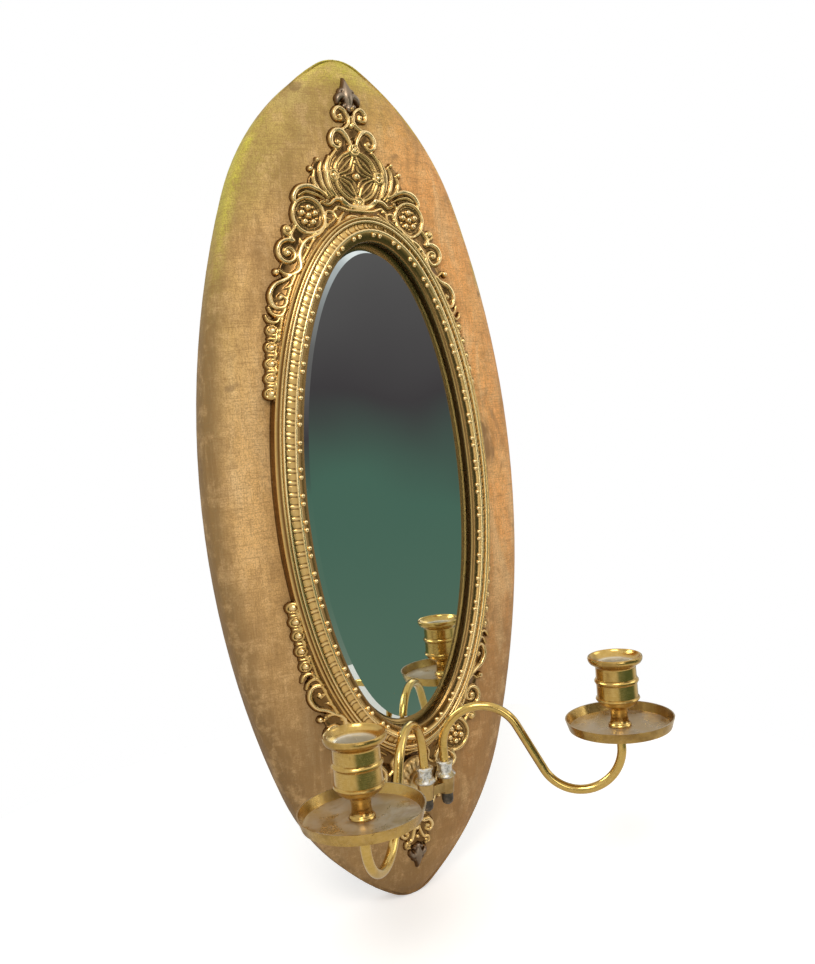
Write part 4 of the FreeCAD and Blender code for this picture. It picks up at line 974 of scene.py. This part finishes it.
def relief(name, low_z, high_z, half, drawings, material, flange=True):
    """One pressed plate: a grid raised to the drawing, cut to its outline."""
    strokes, discs = spread([s for d in drawings for s in d[0]], [p for d in drawings for p in d[1]])
    columns, rows = int(2 * half / RELIEF_GRID), int((high_z - low_z) / RELIEF_GRID)
    bm = bmesh.new()
    bmesh.ops.create_grid(bm, x_segments=columns, y_segments=rows, size=1.0)
    bm.verts.index_update()
    flat = np.array([v.co[:2] for v in bm.verts])
    across = flat[:, 0] * half
    up = (low_z + high_z) / 2 + flat[:, 1] * (high_z - low_z) / 2
    outside = np.maximum(pressing(across, up, strokes, discs, flange)[1], -oval_gap(across, up))
    gone = [f for f in bm.faces if all(outside[v.index] > 0.0 for v in f.verts)]
    lost = set(gone)
    used = np.zeros(len(outside), bool)
    used[[v.index for f in bm.faces if f not in lost for v in f.verts]] = True
    edge = np.flatnonzero(used & (outside > 0.0))
    edge = edge[oval_gap(across[edge], up[edge]) > 0.0]
    across[edge], up[edge] = slide_to_outline(across[edge], up[edge], strokes, discs, flange)
    raised, outside = pressing(across, up, strokes, discs, flange)
    inward = np.clip(-outside / ROUND_OVER, 0, 1)
    climb = CLIMB * np.clip(1.0 - oval_gap(across, up) / CLIMB_WIDTH, 0, 1) ** 1.3
    base = GROUND * np.sqrt(np.clip(1 - (1 - inward) ** 2, 0, 1))
    wear_and_shade = bm.verts.layers.float.new("polish_and_shade")
    for vert in bm.verts:
        i = vert.index
        if used[i]:
            x, z = across[i] * MM, up[i] * MM
            height = (base[i] + climb[i] + raised[i] * (0.4 + 0.6 * inward[i])) * MM
            height += 0.10 * MM * noise.noise(Vector((x, z, 1.0)) * 300.0)
            vert.co = Vector((x, front_y(x, z) - height, z))
            vert[wear_and_shade] = min(1.0, raised[i] / 2.1)
    bmesh.ops.delete(bm, geom=gone, context="FACES")
    bmesh.ops.recalc_face_normals(bm, faces=bm.faces)
    if sum(f.normal.y for f in bm.faces) > 0:
        bmesh.ops.reverse_faces(bm, faces=bm.faces)
    return make_piece(name, bm, "board", material)


SHEET = 0.35 * MM
crest = relief("crest_relief", 64.0, 266.0, 90.0, [shoulder(1), crest_middle()], pressed_brass)
foot = relief("foot_relief", -264.0, -64.0, 90.0, [shoulder(-1), foot_middle()], pressed_brass)
crest_leaf = relief("crest_leaf", 258.0, 290.0, 14.0, [leaf_strokes(265.5, 1, 0.92)], dark_leaf,
                    False)
foot_leaf = relief("foot_leaf", -282.0, -258.0, 12.0, [leaf_strokes(-262.5, -1, 0.70)], dark_leaf,
                   False)
for pressed in (crest, foot, crest_leaf, foot_leaf):
    sheet_wall = pressed.modifiers.new("sheet thickness", "SOLIDIFY")
    sheet_wall.thickness, sheet_wall.offset = SHEET, -1.0


# %% [markdown]
# ## Candle nozzles
# A nozzle is turned from bar on a lathe, so one half section spun about the candle's axis
# gives it. The section is drawn up the outside, over the lip, down a shallow dish and
# into the bore.

# %% Nozzles: (radius, height above the foot), in millimetres
NOZZLE_SECTION = [
    (0.0, 0.0), (7.4, 0.0), (7.8, 0.7), (7.4, 1.6), (6.6, 2.2), (6.0, 4.0), (5.7, 7.0),
    (5.9, 10.0), (6.8, 12.2), (8.2, 13.0), (10.6, 14.2), (12.6, 16.0), (13.5, 18.0),
    (14.3, 18.3), (14.9, 19.2), (14.5, 20.2), (13.8, 20.6), (13.7, 29.6), (14.2, 30.0),
    (14.3, 30.5), (14.9, 31.2), (14.9, 32.0), (14.3, 32.7), (14.2, 33.2), (13.7, 33.6),
    (13.6, 41.2), (14.2, 42.2), (15.6, 43.0), (17.2, 44.0), (18.2, 45.6), (18.5, 47.2),
    (18.2, 48.2), (17.6, 48.6), (17.0, 48.3), (16.4, 47.2), (14.8, 45.6), (12.6, 44.4),
    (11.3, 43.6), (11.1, 42.6), (11.1, 22.0), (10.4, 21.4), (0.0, 21.4),
]
NOZZLE_STEPS = 96
SECTION_STEP = 0.9 * MM


def close_spaced(corners):
    """The same outline with a point at least every SECTION_STEP, so that shading stays local."""
    points = [corners[0]]
    for start, end in zip(corners, corners[1:]):
        parts = max(1, math.ceil((Vector(end) - Vector(start)).length / SECTION_STEP))
        points += [tuple(Vector(start).lerp(Vector(end), k / parts)) for k in range(1, parts + 1)]
    return points


def turned_piece(name, section, axis, foot_z, body, material, replaces):
    bm = bmesh.new()
    outline = close_spaced([(r * MM, 0.0, h * MM) for r, h in section])
    corners = [bm.verts.new(place) for place in outline]
    edges = [bm.edges.new(pair) for pair in zip(corners, corners[1:])]
    bmesh.ops.spin(bm, geom=corners + edges, cent=(0, 0, 0), axis=(0, 0, 1),
                   angle=2 * math.pi, steps=NOZZLE_STEPS, use_merge=True)
    bmesh.ops.remove_doubles(bm, verts=bm.verts, dist=0.00001)
    bmesh.ops.recalc_face_normals(bm, faces=bm.faces)
    bmesh.ops.translate(bm, verts=bm.verts, vec=(axis[0], axis[1], foot_z))
    piece = make_piece(name, bm, body, material, replaces)
    piece.data.set_sharp_from_angle(angle=math.radians(38))
    return piece


for side in ("left", "right"):
    foot_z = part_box(side + "_nozzle")[0].z
    turned_piece(side + "_turned_nozzle", NOZZLE_SECTION, SOCKET_AXIS[side], foot_z,
                 side + "_arm", turned_brass[side], side + "_nozzle")

# %% [markdown]
# ## Bracket plate
# The oval plate under the bracket is pressed with a ring of lobes round a plain boss. It
# is spun round, stretched to the oval, and its lobes are raised by a cosine.

# %% Bracket plate
PLATE_SECTION = [(0.0, 1.0), (0.22, 1.0), (0.40, 0.86), (0.46, 0.62), (0.52, 0.70), (0.60, 0.86),
                 (0.70, 0.90), (0.80, 0.78), (0.88, 0.46), (0.93, 0.22), (0.97, 0.20), (1.0, 0.0)]
LOBES = 18
cast_dark = brass("cast_dark", 0.36, 0.8, height="polish_and_shade", tint=(0.46, 0.30, 0.11))


def lobed_plate():
    low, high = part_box("bracket_rosette")
    half_x, half_z, deep = (high.x - low.x) / 2, (high.z - low.z) / 2, high.y - low.y
    bm = bmesh.new()
    corners = [bm.verts.new((share, -rise, 0.0)) for share, rise in PLATE_SECTION]
    edges = [bm.edges.new(pair) for pair in zip(corners, corners[1:])]
    bmesh.ops.spin(bm, geom=corners + edges, cent=(0, 0, 0), axis=(0, 1, 0),
                   angle=2 * math.pi, steps=LOBES * 8, use_merge=True)
    bmesh.ops.remove_doubles(bm, verts=bm.verts, dist=0.0001)
    wear_and_shade = bm.verts.layers.float.new("polish_and_shade")
    for vert in bm.verts:
        out = math.hypot(vert.co.x, vert.co.z)
        lobe = math.cos(LOBES * math.atan2(vert.co.z, vert.co.x))
        band = math.exp(-((out - 0.70) / 0.13) ** 2)
        rise = -vert.co.y + 0.20 * band * (lobe - 0.4)
        vert[wear_and_shade] = max(0.0, min(1.0, rise))
        vert.co = Vector((vert.co.x * half_x, high.y - rise * deep,
                          (low.z + high.z) / 2 + vert.co.z * half_z))
    bmesh.ops.recalc_face_normals(bm, faces=bm.faces)
    if sum(f.normal.y for f in bm.faces) > 0:
        bmesh.ops.reverse_faces(bm, faces=bm.faces)
    return make_piece("lobed_plate", bm, "board", cast_dark, "bracket_rosette")


plate = lobed_plate()
plate_wall = plate.modifiers.new("sheet thickness", "SOLIDIFY")
plate_wall.thickness, plate_wall.offset = 0.5 * MM, -1.0


# %% [markdown]
# ## Stage and light
# A pale floor just under the tip, a white world for the camera, and soft lamps. Metal
# shows what stands round it, so glossy rays see a studio with a darker side behind the
# camera: that is what gives brass its dark lines and the glass its depth.

# %% Floor
FLOOR_Z = board_low.z - 0.0010
FLOOR_RADIUS = 0.44


def pale_floor():
    bm = bmesh.new()
    bmesh.ops.create_circle(bm, cap_ends=True, segments=96, radius=FLOOR_RADIUS)
    bmesh.ops.translate(bm, verts=bm.verts, vec=(0, 0, FLOOR_Z))
    mesh = bpy.data.meshes.new("floor")
    bm.to_mesh(mesh)
    bm.free()
    floor = bpy.data.objects.new("floor", mesh)
    scene.collection.objects.link(floor)
    g = Graph("pale_floor")
    g.finish((0.86, 0.84, 0.81), 0.9)
    glow = g.nodes.new("ShaderNodeEmission")
    glow.inputs["Color"].default_value = (1.0, 0.995, 0.985, 1)
    path = g.nodes.new("ShaderNodeLightPath")
    glow.inputs["Strength"].default_value = 1.0
    add = g.nodes.new("ShaderNodeAddShader")
    share = g.nodes.new("ShaderNodeMath")
    share.operation = "MULTIPLY"
    share.inputs[1].default_value = 0.46
    g.links.new(path.outputs["Is Camera Ray"], share.inputs[0])
    g.links.new(share.outputs[0], glow.inputs["Strength"])
    g.links.new(g.shader.outputs[0], add.inputs[0])
    g.links.new(glow.outputs[0], add.inputs[1])
    g.links.new(add.outputs[0], g.nodes["Material Output"].inputs["Surface"])
    mesh.materials.append(g.material)


pale_floor()


# %% World and lamps
def studio_world():
    world = bpy.data.worlds.new("studio")
    world.use_nodes = True
    scene.world = world
    nodes, links = world.node_tree.nodes, world.node_tree.links
    place = nodes.new("ShaderNodeTexCoord")
    parts = nodes.new("ShaderNodeSeparateXYZ")
    links.new(place.outputs["Generated"], parts.inputs[0])
    ramp = nodes.new("ShaderNodeValToRGB")
    rise = nodes.new("ShaderNodeMapRange")
    rise.inputs[1].default_value, rise.inputs[2].default_value = -1.0, 1.0
    links.new(parts.outputs[2], rise.inputs[0])
    cloud = nodes.new("ShaderNodeTexNoise")
    cloud.inputs["Scale"].default_value, cloud.inputs["Detail"].default_value = 3.2, 2.5
    links.new(place.outputs["Generated"], cloud.inputs["Vector"])
    drift = nodes.new("ShaderNodeMath")
    drift.operation = "MULTIPLY_ADD"
    drift.inputs[1].default_value, drift.inputs[2].default_value = 0.16, -0.08
    links.new(cloud.outputs["Fac"], drift.inputs[0])
    uneven = nodes.new("ShaderNodeMath")
    links.new(rise.outputs[0], uneven.inputs[0])
    links.new(drift.outputs[0], uneven.inputs[1])
    links.new(uneven.outputs[0], ramp.inputs[0])
    band = ramp.color_ramp
    stops = ((0.0, (0.52, 0.49, 0.44)), (0.36, (0.10, 0.17, 0.125)), (0.47, (0.075, 0.15, 0.112)),
             (0.53, (0.060, 0.052, 0.056)), (0.64, (0.16, 0.15, 0.15)),
             (0.74, (0.50, 0.52, 0.54)), (0.80, (0.95, 0.96, 0.98)), (1.0, (1.0, 1.0, 1.0)))
    while len(band.elements) < len(stops):
        band.elements.new(0.5)
    for element, (at, colour) in zip(band.elements, stops):
        element.position, element.color = at, colour + (1,)

    def side(axis, low, high):
        node = nodes.new("ShaderNodeMapRange")
        node.interpolation_type = "SMOOTHSTEP"
        node.inputs[1].default_value, node.inputs[2].default_value = low, high
        links.new(parts.outputs[axis], node.inputs[0])
        return node.outputs[0]

    def brightest(first, second):
        node = nodes.new("ShaderNodeMath")
        node.operation = "MAXIMUM"
        links.new(first, node.inputs[0])
        links.new(second, node.inputs[1])
        return node.outputs[0]

    walls = brightest(brightest(side(1, 0.42, 0.85), side(0, -0.42, -0.72)), side(0, 0.80, 0.96))
    room = nodes.new("ShaderNodeMix")
    room.data_type = "RGBA"
    room.inputs[7].default_value = (0.74, 0.74, 0.72, 1)
    links.new(walls, room.inputs[0])
    links.new(ramp.outputs[0], room.inputs[6])
    path = nodes.new("ShaderNodeLightPath")
    soft = nodes.new("ShaderNodeMix")
    soft.data_type = "RGBA"
    soft.inputs[6].default_value = (0.52, 0.52, 0.52, 1)
    links.new(path.outputs["Is Glossy Ray"], soft.inputs[0])
    links.new(room.outputs[2], soft.inputs[7])
    seen = nodes.new("ShaderNodeMix")
    seen.data_type = "RGBA"
    seen.inputs[7].default_value = (1, 1, 1, 1)
    links.new(path.outputs["Is Camera Ray"], seen.inputs[0])
    links.new(soft.outputs[2], seen.inputs[6])
    links.new(seen.outputs[2], nodes["Background"].inputs["Color"])


def lamp(name, place, size, power, aim=(0, 0, 0), colour=(1, 1, 1)):
    data = bpy.data.lights.new(name, "AREA")
    data.size, data.energy, data.color = size, power, colour
    light = bpy.data.objects.new(name, data)
    light.location = place
    light.rotation_euler = (Vector(aim) - Vector(place)).to_track_quat("-Z", "Y").to_euler()
    scene.collection.objects.link(light)


studio_world()
lamp("key", (-1.1, -1.3, 1.5), 0.9, 21.0, colour=(1.0, 0.97, 0.93))
lamp("fill", (1.6, -1.2, 0.7), 1.1, 8.0, colour=(0.95, 0.98, 1.0))
lamp("front", (-0.5, -1.9, 0.1), 0.7, 4.0)
